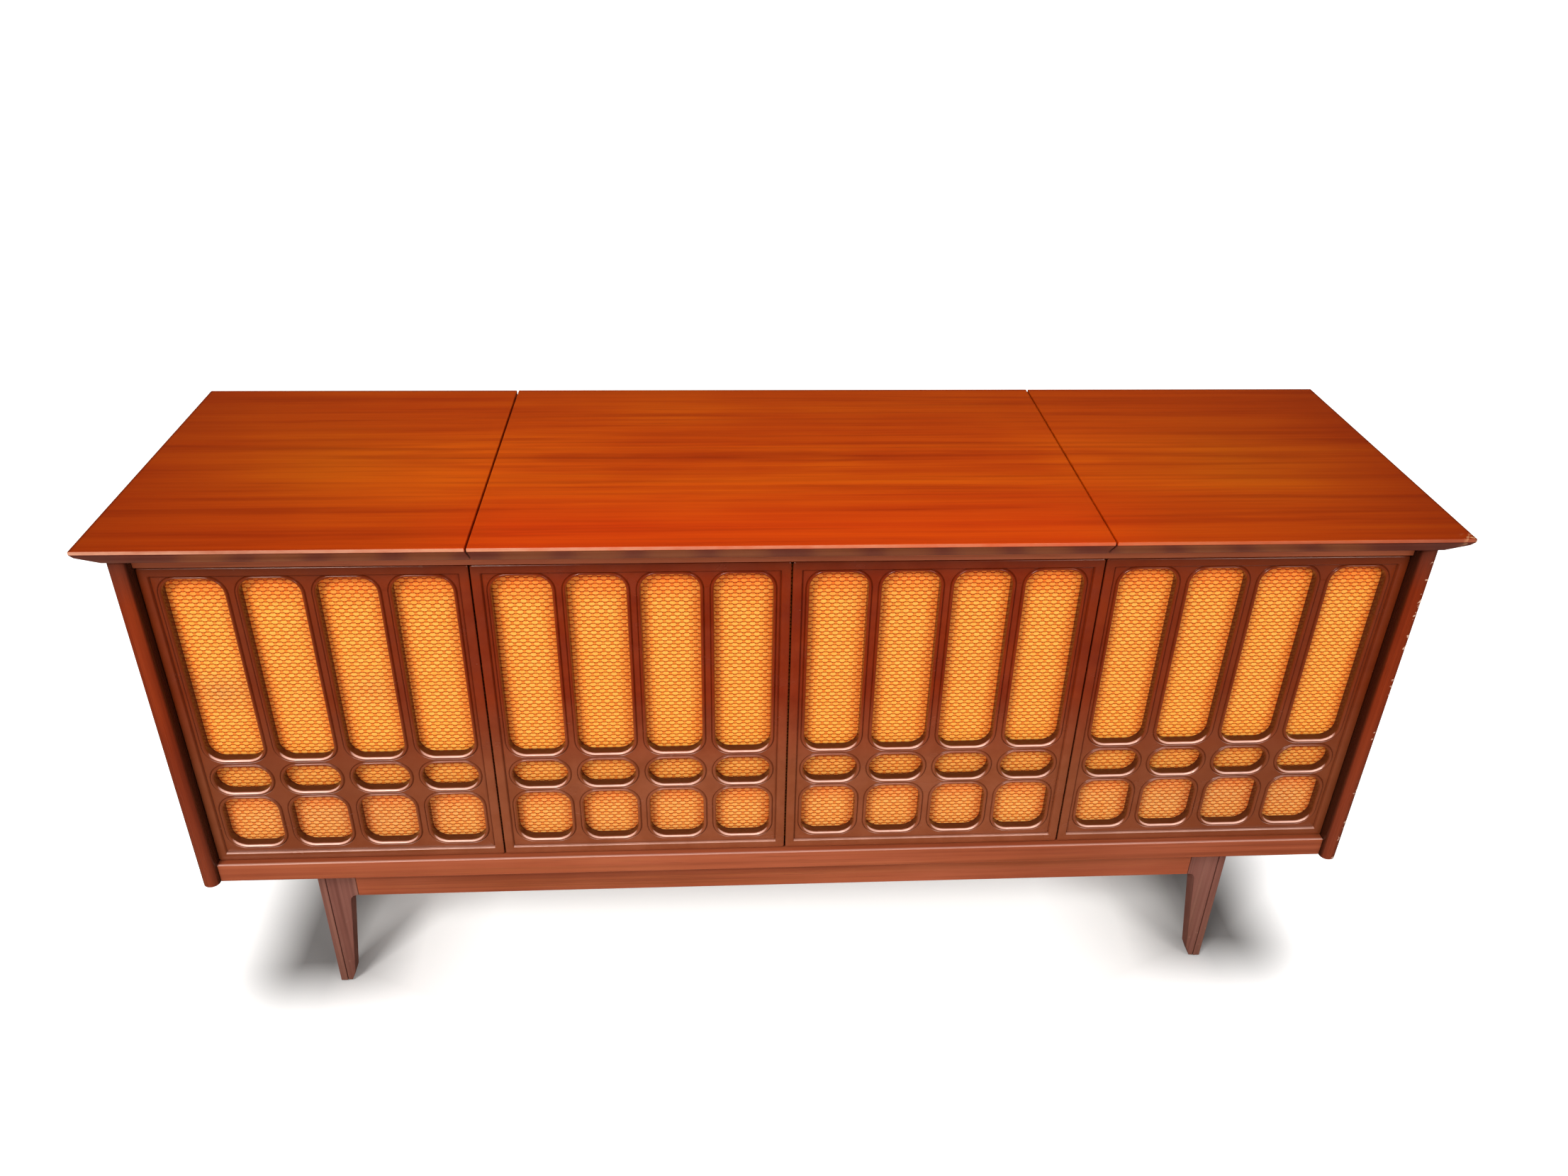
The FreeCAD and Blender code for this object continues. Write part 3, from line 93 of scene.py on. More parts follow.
# Each soft light: name, place, aim, width, height and power in watts.
LIGHTS = (("key", (-2.0, -3.0, 3.5), (0, 0, 0.45), 1.3, 1.0, 150),
          ("fill", (2.4, -3.2, 2.6), (0, 0, 0.40), 1.6, 1.0, 45),
          ("top_soft", (0.0, -0.1, 3.4), (0, 0, 0.7), 3.0, 1.6, 10))

# The floor glows white outside the shadow that lies round a rectangle under the cabinet.
FLOOR_REACH = 30.0
FLOOR_DROP = 0.3 * MM
FLOOR_GLOW = 0.85
SHADOW_HALF_X = 660 * MM
SHADOW_HALF_Y = 100 * MM
SHADOW_REACH = 170 * MM
DARK_REACH = 110 * MM

# The camera stands in front, a little to the left, and looks down at the top.
CAMERA_PLACE = (-0.0896, -1.3321, 1.3476)
CAMERA_TURN = (58.849, -1.212, -3.250)
CAMERA_LENS = 28.24
CAMERA_SENSOR = 36


# ---------------------------------------------------------------- node helpers

class Tree:
    """Short ways to add and join shader nodes of one material."""

    def __init__(self, name):
        self.material = bpy.data.materials.new(name)
        self.material.use_nodes = True
        self.nodes = self.material.node_tree.nodes
        self.links = self.material.node_tree.links
        self.nodes.clear()
        self.output = self.nodes.new("ShaderNodeOutputMaterial")

    def add(self, kind, inputs=(), **settings):
        node = self.nodes.new("ShaderNode" + kind)
        for name, value in settings.items():
            setattr(node, name, value)
        for key, value in dict(inputs).items():
            self.feed(node.inputs[key], value)
        return node

    def feed(self, socket, value):
        if isinstance(value, bpy.types.NodeSocket):
            self.links.new(value, socket)
        elif isinstance(value, tuple) and len(value) == 3 and socket.type == "RGBA":
            socket.default_value = (*value, 1)
        else:
            socket.default_value = value

    def place(self):
        """The point in the frame, in metres, as three values and a vector."""
        point = self.add("TexCoord").outputs["Object"]
        parts = self.add("SeparateXYZ", {0: point})
        return point, parts.outputs[0], parts.outputs[1], parts.outputs[2]

    def math(self, operation, a, b=0.0, clamp=False):
        return self.add("Math", {0: a, 1: b}, operation=operation, use_clamp=clamp).outputs[0]

    def stretch(self, vector, scale, shift=(0, 0, 0)):
        return self.add("Mapping", {"Vector": vector, "Scale": scale, "Location": shift}).outputs[0]

    def noise(self, vector, scale, detail=3.0, rough=0.5, distortion=0.0):
        return self.add("TexNoise", {"Vector": vector, "Scale": scale, "Detail": detail,
                                     "Roughness": rough, "Distortion": distortion}).outputs["Fac"]

    def ramp(self, value, low, high, to_low=0.0, to_high=1.0):
        return self.add("MapRange", {"Value": value, "From Min": low, "From Max": high,
                                     "To Min": to_low, "To Max": to_high}).outputs[0]

    def mix(self, factor, a, b, blend="MIX"):
        node = self.add("Mix", {}, data_type="RGBA", blend_type=blend)
        self.feed(node.inputs[0], factor)
        self.feed(node.inputs[6], a)
        self.feed(node.inputs[7], b)
        return node.outputs[2]

    def tinted(self, factor, colour, tint):
        """The colour multiplied by a tint, as far as factor says."""
        return self.mix(factor, colour, self.mix(1.0, colour, tint, "MULTIPLY"))

    def bump(self, height, strength, distance=0.001, normal=None):
        node = self.add("Bump", {"Height": height, "Strength": strength, "Distance": distance})
        if normal is not None:
            self.links.new(normal, node.inputs["Normal"])
        return node.outputs[0]

    def surface(self, **inputs):
        shader = self.add("BsdfPrincipled")
        for name, value in inputs.items():
            self.feed(shader.inputs[name.replace("_", " ")], value)
        self.links.new(shader.outputs[0], self.output.inputs[0])
        return self.material


def near_value(tree, value, middle, width):
    """1 where a value is at middle, falling to 0 at width from it."""
    distance = tree.math("ABSOLUTE", tree.math("SUBTRACT", value, middle))
    return tree.ramp(distance, width, 0.0)


def between(tree, value, low, high):
    """1 where a value lies between two limits, with edges one millimetre soft."""
    above = tree.ramp(value, low - MM / 2, low + MM / 2)
    below = tree.ramp(value, high + MM / 2, high - MM / 2)
    return tree.math("MULTIPLY", above, below)


# ---------------------------------------------------------------- materials

def wood(name, base, dark, light, grain="x", rough=0.32, shine=0.25, figure=1.0, finish=None,
         tint=(1.0, 0.80, 0.72)):
    """Stained veneer: long pores, fine lines, slow colour bands and an arched figure."""
    t = Tree(name)
    point, x, y, z = t.place()

    def along(lengthwise, crosswise):
        return t.stretch(point, tuple(lengthwise if axis == grain else crosswise for axis in "xyz"))

    bands = t.noise(along(0.7, 9), 2.0, 3, 0.5, 0.5)
    arched = t.add("TexWave", {"Vector": along(0.55, 5.5), "Scale": 3.2, "Distortion": 5.0, "Detail": 2.0,
                               "Detail Scale": 1.2}, wave_type="RINGS", rings_direction="Z").outputs["Fac"]
    lines = t.noise(along(1.6, 170), 1.0, 3, 0.62, 0.3)
    pores = t.noise(along(12, 620), 1.0, 2, 0.5)
    streaks = t.noise(along(2.2, 70), 1.0, 4, 0.6, 0.2)
    blotch = t.noise(along(1.5, 2.5), 2.4, 3, 0.5)
    colour = t.mix(t.ramp(bands, 0.34, 0.66), dark, base)
    colour = t.mix(t.ramp(blotch, 0.42, 0.66, 0.0, 0.55), colour, light)
    colour = t.mix(t.math("MULTIPLY", t.ramp(arched, 0.55, 0.95), 0.30 * figure), colour, dark)
    colour = t.mix(t.ramp(lines, 0.50, 0.72, 0.0, 0.50), colour, tuple(0.55 * c for c in dark))
    colour = t.mix(t.ramp(lines, 0.46, 0.30, 0.0, 0.30), colour, light)
    colour = t.mix(t.ramp(pores, 0.62, 0.74, 0.0, 0.35), colour, tuple(0.4 * c for c in dark))
    # The finish adds each wood's own tone and, for the top, the lowest rail and the end panels, painted
    # light and shade.
    if finish is not None:
        colour = finish(t, colour, x, y, z)
    colour = t.tinted(t.ramp(streaks, 0.50, 0.68, 0.0, 0.62 * figure), colour, (0.60, 0.42, 0.40))
    colour = t.tinted(t.ramp(streaks, 0.48, 0.34, 0.0, 0.50 * figure), colour, (1.18, 1.50, 1.30))
    roughness = t.ramp(streaks, 0.3, 0.7, rough - 0.01, rough + 0.03)
    normal = t.bump(pores, 0.10, 0.0004)
    return t.surface(Base_Color=colour, Roughness=roughness, Specular_IOR_Level=shine,
                     Specular_Tint=tint, Normal=normal)


def top_tone_and_shade(t, colour, x, y, z):
    """An amber patch on each side, redder in front, darker at the back as painted shade where the front
    light falls off, darker at the ends as part tone and part painted shade, and a dark rim.
    """
    side = t.math("ABSOLUTE", x)
    ends = t.math("POWER", t.ramp(side, 0.38, TOP_END), 1.6)
    centre = t.ramp(side, 0.42, 0.30)
    amber = t.math("MULTIPLY", near_value(t, y, -0.01, 0.17), near_value(t, side, 0.54, 0.20))
    colour = t.mix(t.math("MULTIPLY", amber, 0.60), colour, (0.48, 0.100, 0.0003))
    front = t.ramp(y, -0.06, -0.17)
    red_front = t.mix(centre, (0.41, 0.040, 0.0002), (0.56, 0.034, 0.0002))
    colour = t.mix(t.math("MULTIPLY", front, 0.60), colour, red_front)
    # Painted shade: the top darkens towards the back, where the light from the front falls off.
    back = t.ramp(y, 0.00, TOP_REAR)
    colour = t.mix(t.math("MULTIPLY", back, 0.55), colour, (0.27, 0.028, 0.0003))
    # Darker towards the ends: part the veneer's own tone, part painted shade.
    colour = t.mix(t.math("MULTIPLY", ends, 0.70), colour, (0.20, 0.018, 0.0003))
    rear_rim = t.ramp(y, TOP_REAR - 4 * MM, TOP_REAR - 1 * MM)
    end_rim = t.ramp(side, TOP_END - 4 * MM, TOP_END - 1 * MM)
    rim = t.math("MAXIMUM", rear_rim, end_rim)
    colour = t.mix(t.math("MULTIPLY", rim, 0.75), colour, (0.075, 0.009, 0.001))
    return top_edges(t, colour, x, y, z)


def top_edges(t, colour, x, y, z):
    """The pale front land of the top, part worn and part painted highlight, its brown bevel, and the chips
    at the right front corner.
    """
    point = t.place()[0]
    land_low = TOP_HIGH - LAND
    front_face = t.ramp(y, TOP_FRONT + 0.6 * MM, TOP_FRONT + 0.2 * MM)
    land = t.math("MULTIPLY", front_face, t.ramp(z, land_low - 0.4 * MM, land_low + 0.2 * MM))
    wear = t.ramp(t.noise(t.stretch(point, (26, 60, 60)), 1.0, 3, 0.7), 0.3, 0.7, 0.55, 1.0)
    less_at_right = t.ramp(x, -0.45, 0.30, 1.0, 0.28)
    # Painted highlight on the front land, mixed with real wear from the wear noise.
    pale_edge_highlight = t.math("MULTIPLY", t.math("MULTIPLY", land, wear), less_at_right)
    colour = t.mix(pale_edge_highlight, colour, (0.62, 0.30, 0.19))
    below = t.ramp(z, land_low + 0.2 * MM, land_low - 0.6 * MM)
    edge_line = t.math("MULTIPLY", below, t.ramp(z, land_low - 4.5 * MM, land_low - 0.8 * MM))
    colour = t.mix(below, colour, (0.175, 0.054, 0.037))
    colour = t.mix(t.math("MULTIPLY", edge_line, 0.75), colour, (0.10, 0.012, 0.006))
    corner = t.math("MULTIPLY", t.ramp(x, TOP_END - 16 * MM, TOP_END - 5 * MM),
                    t.ramp(y, TOP_FRONT + 14 * MM, TOP_FRONT + 2 * MM))
    chips = t.ramp(t.noise(t.stretch(point, (170, 170, 170)), 1.0, 2, 0.5), 0.5, 0.56)
    return t.mix(t.math("MULTIPLY", corner, chips), colour, (0.66, 0.34, 0.17))


def rail_edge_highlight(t, colour, x, y, z):
    """The lowest rail has a painted highlight along its pale top edge."""
    top_edge = t.ramp(z, RAIL_HIGH - 0.8 * MM, RAIL_HIGH - 0.1 * MM)
    # Painted highlight along the rail's top front edge.
    pale_edge_highlight = t.math("MULTIPLY", top_edge, t.ramp(y, RAIL_FRONT + 3.5 * MM, RAIL_FRONT + 1.5 * MM))
    return t.mix(t.math("MULTIPLY", pale_edge_highlight, 0.75), colour, (0.72, 0.40, 0.33))


def end_tone_and_shade(t, colour, x, y, z):
    """Redder high up and pinker low down, with painted shade under the top and on the dark inner face, and
    pale chips along the outer front edge.
    """
    low = t.ramp(z, 0.50, 0.27)
    colour = t.mix(t.math("MULTIPLY", low, 0.5), colour, (0.20, 0.050, 0.024))
    # Painted shade: darker near the top, under the overhang of the top.
    shade = t.ramp(z, END_HIGH.z - 56 * MM, END_HIGH.z - 2 * MM)
    colour = t.mix(t.math("MULTIPLY", shade, 0.7), colour, (0.085, 0.028, 0.018))
    # Painted shade: the inner face, which lies in shadow, is darkened nearly to black.
    inner = t.ramp(t.math("ABSOLUTE", x), END_LOW.x + 2.2 * MM, END_LOW.x + 0.4 * MM)
    colour = t.mix(t.math("MULTIPLY", inner, 0.88), colour, (0.022, 0.006, 0.003))
    spots = t.noise(t.stretch(t.place()[0], (90, 90, 190)), 1.0, 2, 0.5)
    rim = t.math("MULTIPLY", t.ramp(x, END_HIGH.x - 8.5 * MM, END_HIGH.x - 6.5 * MM),
                 t.ramp(y, END_LOW.y + 8 * MM, END_LOW.y + 5 * MM))
    chips = t.math("MULTIPLY", t.ramp(spots, 0.63, 0.65), rim)
    return t.mix(chips, colour, (0.70, 0.42, 0.30))


def leg_finish(t, colour, x, y, z):
    """Greyer and a little scuffed towards the floor."""
    low = t.ramp(z, 0.15, 0.02)
    scuff = t.ramp(t.noise(t.place()[0], 60.0, 3, 0.7), 0.62, 0.72)
    colour = t.mix(t.math("MULTIPLY", low, 0.4), colour, (0.15, 0.055, 0.035))
    return t.mix(t.math("MULTIPLY", t.math("MULTIPLY", scuff, low), 0.5), colour, (0.42, 0.24, 0.17))


def plain_wood(name, base, dark, grain):
    """Unfinished board: dull, with open grain."""
    light = tuple(min(1, 1.3 * c) for c in base)
    return wood(name, base, dark, light, grain, rough=0.7, shine=0.15, figure=0.5)


def hardboard():
    """Dark pressed-fibre board with fine fibre grain and darker cloudy patches."""
    t = Tree("hardboard_back")
    point = t.place()[0]
    fibre = t.noise(t.stretch(point, (1, 1, 0.6)), 420.0, 4, 0.65)
    cloud = t.noise(point, 6.0, 3, 0.6)
    colour = t.mix(t.ramp(fibre, 0.3, 0.7), (0.075, 0.036, 0.018), (0.16, 0.082, 0.042))
    colour = t.mix(t.ramp(cloud, 0.4, 0.7, 0.0, 0.4), colour, (0.05, 0.025, 0.014))
    return t.surface(Base_Color=colour, Roughness=0.75, Normal=t.bump(fibre, 0.4, 0.0006))


def grille_plastic():
    """Chocolate moulded plastic with a gloss skin; painted light and shade make it lighter low down and
    darker high up, painted shade darkens the grooves and deep walls, and a painted highlight brightens the
    lower bead crests.
    """
    t = Tree("grille_plastic_brown")
    point, x, y, z = t.place()
    mottle = t.noise(point, 26.0, 4, 0.6)
    patch = t.ramp(mottle, 0.35, 0.65)
    colour = t.mix(patch, (0.180, 0.015, 0.0015), (0.230, 0.024, 0.003))
    # Painted light and shade: the lower field is lighter and pinker, and the upper field darker, as if
    # shaded by the top.
    low = t.ramp(z, 0.50, 0.38)
    colour = t.mix(low, colour, t.mix(patch, (0.230, 0.056, 0.019), (0.270, 0.072, 0.028)))
    outer = t.ramp(t.math("ABSOLUTE", x), 0.25, 0.55)
    colour = t.mix(t.math("MULTIPLY", outer, 0.55), colour, (0.150, 0.030, 0.008))
    # Painted shade along the top of the grille, under the top rail.
    shaded = t.ramp(z, 0.655, 0.676)
    colour = t.mix(t.math("MULTIPLY", shaded, 0.5), colour, (0.085, 0.018, 0.006))
    # Painted shade in the grooves just behind the field.
    groove = t.ramp(y, FIELD_Y, FIELD_Y + 0.6 * MM)
    colour = t.mix(t.math("MULTIPLY", groove, 0.65), colour, (0.045, 0.006, 0.002))
    # Painted shade on the deep walls of the openings.
    deep = t.ramp(y, FIELD_Y + 1.8 * MM, FIELD_Y + 3 * MM)
    colour = t.mix(t.math("MULTIPLY", deep, 0.85), colour, (0.060, 0.014, 0.005))
    # Painted highlight on the upward-facing lower bead crests.
    colour = t.mix(painted_crest_highlight(t, y, z, mottle), colour, (0.78, 0.46, 0.37))
    smear = t.noise(t.stretch(point, (0.6, 1, 1)), 34.0, 3, 0.6)
    ripple = t.noise(point, 210.0, 2, 0.5)
    return t.surface(Base_Color=colour, Roughness=t.ramp(smear, 0.3, 0.75, 0.17, 0.30),
                     Specular_IOR_Level=0.55, Specular_Tint=(1.0, 0.82, 0.75),
                     Normal=t.bump(ripple, 0.05, 0.0005))


def painted_crest_highlight(t, y, z, mottle):
    """Where the painted highlight goes: how far a point is on the upward-facing crest of a bead's lower
    arc, or of the rim below it.
    """
    upward = t.add("SeparateXYZ", {0: t.add("NewGeometry").outputs["Normal"]}).outputs[2]
    crest = t.math("MULTIPLY", t.ramp(upward, 0.42, 0.66), t.ramp(upward, 0.995, 0.93))
    crest = t.math("MULTIPLY", crest, t.ramp(y, FIELD_Y + 1.3 * MM, FIELD_Y + 0.6 * MM))
    lower = t.math("MULTIPLY", between(t, z, *LOWER_RIM), 0.35)
    for opening_low, opening_high in OPENINGS:
        half_way = min((opening_low + opening_high) / 2, opening_low + 30 * MM)
        lower = t.math("MAXIMUM", lower, between(t, z, opening_low - 1 * MM, half_way))
    crest = t.math("MULTIPLY", crest, lower)
    return t.math("MULTIPLY", crest, t.ramp(mottle, 0.3, 0.6, 0.7, 1.0))


def cloth_material():
    """Plain weave: long golden floats across, short orange ones up, with painted shade where the floats
    dip between rows, in the gaps at the crossings, near the edges of each opening and over the short
    openings.
    """
    t = Tree("grille_cloth_weave")
    point, x, y, z = t.place()
    sway = t.noise(point, 40.0, 1, 0.5)
    across = t.math("DIVIDE", x, WEAVE_X)
    upward = t.math("ADD", t.math("DIVIDE", z, WEAVE_Z), t.ramp(sway, 0.3, 0.7, -0.06, 0.06))
    column = t.math("FLOOR", across)
    row = t.math("FLOOR", upward)
    u = t.math("ABSOLUTE", t.math("SUBTRACT", t.math("SUBTRACT", across, column), 0.5))
    v = t.math("ABSOLUTE", t.math("SUBTRACT", t.math("SUBTRACT", upward, row), 0.5))
    parity = t.math("ABSOLUTE", t.math("MODULO", t.math("ADD", t.math("ADD", column, row), 1000.0), 2.0))
    float_here = t.ramp(parity, 0.4, 0.6)
    float_beside = t.math("MULTIPLY", t.ramp(parity, 0.6, 0.4), t.ramp(u, 0.30, 0.40))
    golden = t.math("MAXIMUM", float_here, float_beside)
    golden = t.math("MULTIPLY", golden, t.ramp(v, 0.43, 0.33))
    fibre = t.noise(t.stretch(point, (260, 300, 1500)), 1.0, 2, 0.6)
    fibre_up = t.noise(t.stretch(point, (1500, 300, 260)), 1.0, 2, 0.6)
    yarn = t.noise(t.stretch(point, (9, 1, 200)), 1.0, 2, 0.5)
    gold = t.mix(t.ramp(fibre, 0.3, 0.7), (0.95, 0.32, 0.034), (1.0, 0.50, 0.085))
    gold = t.mix(t.ramp(yarn, 0.45, 0.7, 0.0, 0.45), gold, (0.92, 0.30, 0.030))
    cell = t.add("CombineXYZ", {0: column, 1: row, 2: 0.0}).outputs[0]
    chance = t.add("TexWhiteNoise", {"Vector": cell}, noise_dimensions="3D").outputs["Value"]
    gold = t.mix(t.ramp(chance, 0.0, 1.0, 0.0, 0.35), gold, (1.0, 0.54, 0.11))
    orange = t.mix(t.ramp(fibre_up, 0.3, 0.7), (0.80, 0.165, 0.012), (0.95, 0.29, 0.032))
    orange = t.mix(t.ramp(chance, 0.4, 1.0, 0.0, 0.40), orange, (0.98, 0.38, 0.05))
    colour = t.mix(golden, orange, gold)
    # Painted shade where each float curves down between rows.
    under = t.math("MULTIPLY", float_here, t.ramp(v, 0.32, 0.48))
    colour = t.mix(t.math("MULTIPLY", under, 0.28), colour, (0.50, 0.070, 0.004))
    # Painted shade in the gaps at the crossings.
    slot = t.math("MULTIPLY", t.ramp(parity, 0.6, 0.4), t.ramp(v, 0.20, 0.36))
    slot = t.math("MULTIPLY", slot, t.ramp(u, 0.08, 0.24, 0.6, 1.0))
    colour = t.mix(slot, colour, (0.22, 0.018, 0.002))
    tint = t.noise(point, 9.0, 3, 0.6)
    colour = t.tinted(t.ramp(tint, 0.35, 0.7, 0.0, 0.3), colour, (0.92, 0.86, 1.0))
    recess = opening_shade(t, x, z)
    colour = t.tinted(recess, colour, (0.93, 0.46, 0.34))
    # Painted shade: the cloth in the short pill openings is darkened.
    pills = between(t, z, OPENINGS[1][0], OPENINGS[1][1])
    colour = t.tinted(pills, colour, (0.86, 0.84, 0.98))
    lowest = between(t, z, OPENINGS[2][0], OPENINGS[2][1])
    colour = t.tinted(lowest, colour, (0.93, 0.95, 1.35))
    stain = faded_patches(t, x, z)
    colour = t.tinted(stain, colour, (0.74, 0.78, 1.25))
    height = t.math("ADD", t.math("MULTIPLY", golden, fibre), fibre_up)
    return t.surface(Base_Color=colour, Roughness=0.62, Specular_IOR_Level=0.12, Sheen_Weight=0.05,
                     Sheen_Tint=(1.0, 0.7, 0.35), Normal=t.bump(height, 0.35, 0.0004))


def opening_shade(t, x, z):
    """How near a point of the cloth is to the top or the sides of its opening, where it looks redder."""
    panel = t.math("FLOOR", t.math("DIVIDE", x, PANEL_PITCH))
    within = t.math("SUBTRACT", x, t.math("MULTIPLY", t.math("ADD", panel, 0.5), PANEL_PITCH))
    step = t.math("FLOOR", t.math("DIVIDE", within, COLUMN_PITCH))
    offset = t.math("SUBTRACT", within, t.math("MULTIPLY", t.math("ADD", step, 0.5), COLUMN_PITCH))
    sideways = t.math("MULTIPLY", t.ramp(t.math("ABSOLUTE", offset), 18 * MM, 34 * MM), 0.75)
    above = 0.0
    for low, high in OPENINGS:
        fading = min(45 * MM, 0.42 * (high - low))
        depth = t.math("SUBTRACT", high - 3 * MM, z)
        shade = t.math("MULTIPLY", t.ramp(depth, -0.5 * MM, 0.0), t.ramp(depth, fading, 0.0))
        above = shade if above == 0.0 else t.math("MAXIMUM", above, shade)
    return t.math("MAXIMUM", sideways, above)


# Faded patches of the cloth: middle in X and Z, half width, half height, and how faded.
FADED = ((-0.650, 0.505, 0.05, 0.035, 0.85), (-0.480, 0.505, 0.05, 0.030, 0.45),
         (-0.525, 0.315, 0.21, 0.05, 0.45), (0.525, 0.315, 0.21, 0.05, 0.50),
         (0.640, 0.315, 0.05, 0.04, 0.50))


def faded_patches(t, x, z):
    """Where the cloth has gone duller and greyer: two tall openings and the lowest outer ones."""
    total = 0.0
    for middle_x, middle_z, half_x, half_z, amount in FADED:
        side = near_value(t, x, middle_x, half_x)
        level = near_value(t, z, middle_z, half_z)
        patch = t.math("MULTIPLY", t.math("MULTIPLY", side, level), amount)
        total = patch if total == 0.0 else t.math("MAXIMUM", total, patch)
    return total


def metal(name, colour, rough=0.3, brushed=None, wear=0.1, finish=None):
    """Metal with fine scratches, an optional brushing direction, and a slight patina."""
    t = Tree(name)
    point = t.place()[0]
    stretch = {None: (1, 1, 1), "x": (0.03, 1, 1), "round": (1, 1, 0.05)}[brushed]
    scratch = t.noise(t.stretch(point, stretch), 900.0, 3, 0.6)
    patina = t.noise(point, 9.0, 2, 0.5)
    shade = t.mix(t.ramp(patina, 0.35, 0.75, 0.0, wear), colour, tuple(0.4 * c for c in colour))
    if finish is not None:
        shade = finish(t, shade)
    roughness = t.ramp(scratch, 0.3, 0.7, rough - 0.03, rough + 0.05)
    return t.surface(Base_Color=shade, Metallic=0.45, Roughness=roughness,
                     Normal=t.bump(scratch, 0.04, 0.0002))


def dial_finish(t, colour):
    """Dark paint on the floor of the dial recess, so the printed scale stands out."""
    low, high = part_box("dial_glass")
    _, x, y, z = t.place()
    inside = t.math("MULTIPLY", between(t, x, low.x, high.x), between(t, y, low.y, high.y))
    painted = t.math("MULTIPLY", inside, t.ramp(z, low.z - 10 * MM, low.z - 11 * MM))
    return t.mix(painted, colour, (0.020, 0.014, 0.010))


def enamel(name, colour, rough=0.4, speckle=0.25):
    """Painted or moulded finish with fine orange-peel and uneven sheen."""
    t = Tree(name)
    point = t.place()[0]
    peel = t.noise(point, 700.0, 2, 0.5)
    cloud = t.noise(point, 30.0, 4, 0.6)
    shade = t.mix(t.ramp(cloud, 0.35, 0.7, 0.0, speckle), colour, tuple(0.6 * c for c in colour))
    roughness = t.ramp(cloud, 0.3, 0.7, rough - 0.06, rough + 0.08)
    return t.surface(Base_Color=shade, Roughness=roughness, Normal=t.bump(peel, 0.08, 0.0003))


def rubber(name, colour):
    """Dull black rubber with a fine grit."""
    t = Tree(name)
    point = t.place()[0]
    grit = t.noise(point, 1200.0, 3, 0.7)
    cloud = t.noise(point, 25.0, 3, 0.6)
    shade = t.mix(t.ramp(cloud, 0.4, 0.7, 0.0, 0.5), colour, tuple(2.0 * c for c in colour))
    return t.surface(Base_Color=shade, Roughness=0.62, Specular_IOR_Level=0.35,
                     Normal=t.bump(grit, 0.25, 0.0004))


def paper_cone():
    """Rough dark paper pulp."""
    t = Tree("speaker_paper_fibre")
    point = t.place()[0]
    fibre = t.noise(point, 520.0, 4, 0.7)
    colour = t.mix(t.ramp(fibre, 0.35, 0.65), (0.035, 0.032, 0.030), (0.085, 0.078, 0.070))
    return t.surface(Base_Color=colour, Roughness=0.85, Normal=t.bump(fibre, 0.5, 0.0006))


def glass():
    """Clear pane with a faint smear."""
    t = Tree("dial_pane_glass")
    point = t.place()[0]
    smear = t.noise(point, 30.0, 3, 0.6)
    return t.surface(Base_Color=(0.93, 0.96, 0.95), Roughness=t.ramp(smear, 0.3, 0.8, 0.02, 0.09),
                     Transmission_Weight=1.0, IOR=1.2, Alpha=0.35)


TOP_WOOD = ((0.52, 0.063, 0.0003), (0.42, 0.040, 0.0002), (0.61, 0.094, 0.0004))
RAIL_WOOD = ((0.37, 0.086, 0.034), (0.29, 0.062, 0.022), (0.44, 0.115, 0.052))
END_WOOD = ((0.230, 0.026, 0.004), (0.165, 0.017, 0.003), (0.30, 0.042, 0.009))
LEG_WOOD = ((0.230, 0.090, 0.066), (0.17, 0.060, 0.043), (0.30, 0.122, 0.094))
BOARD = ((0.42, 0.27, 0.15), (0.30, 0.18, 0.09))

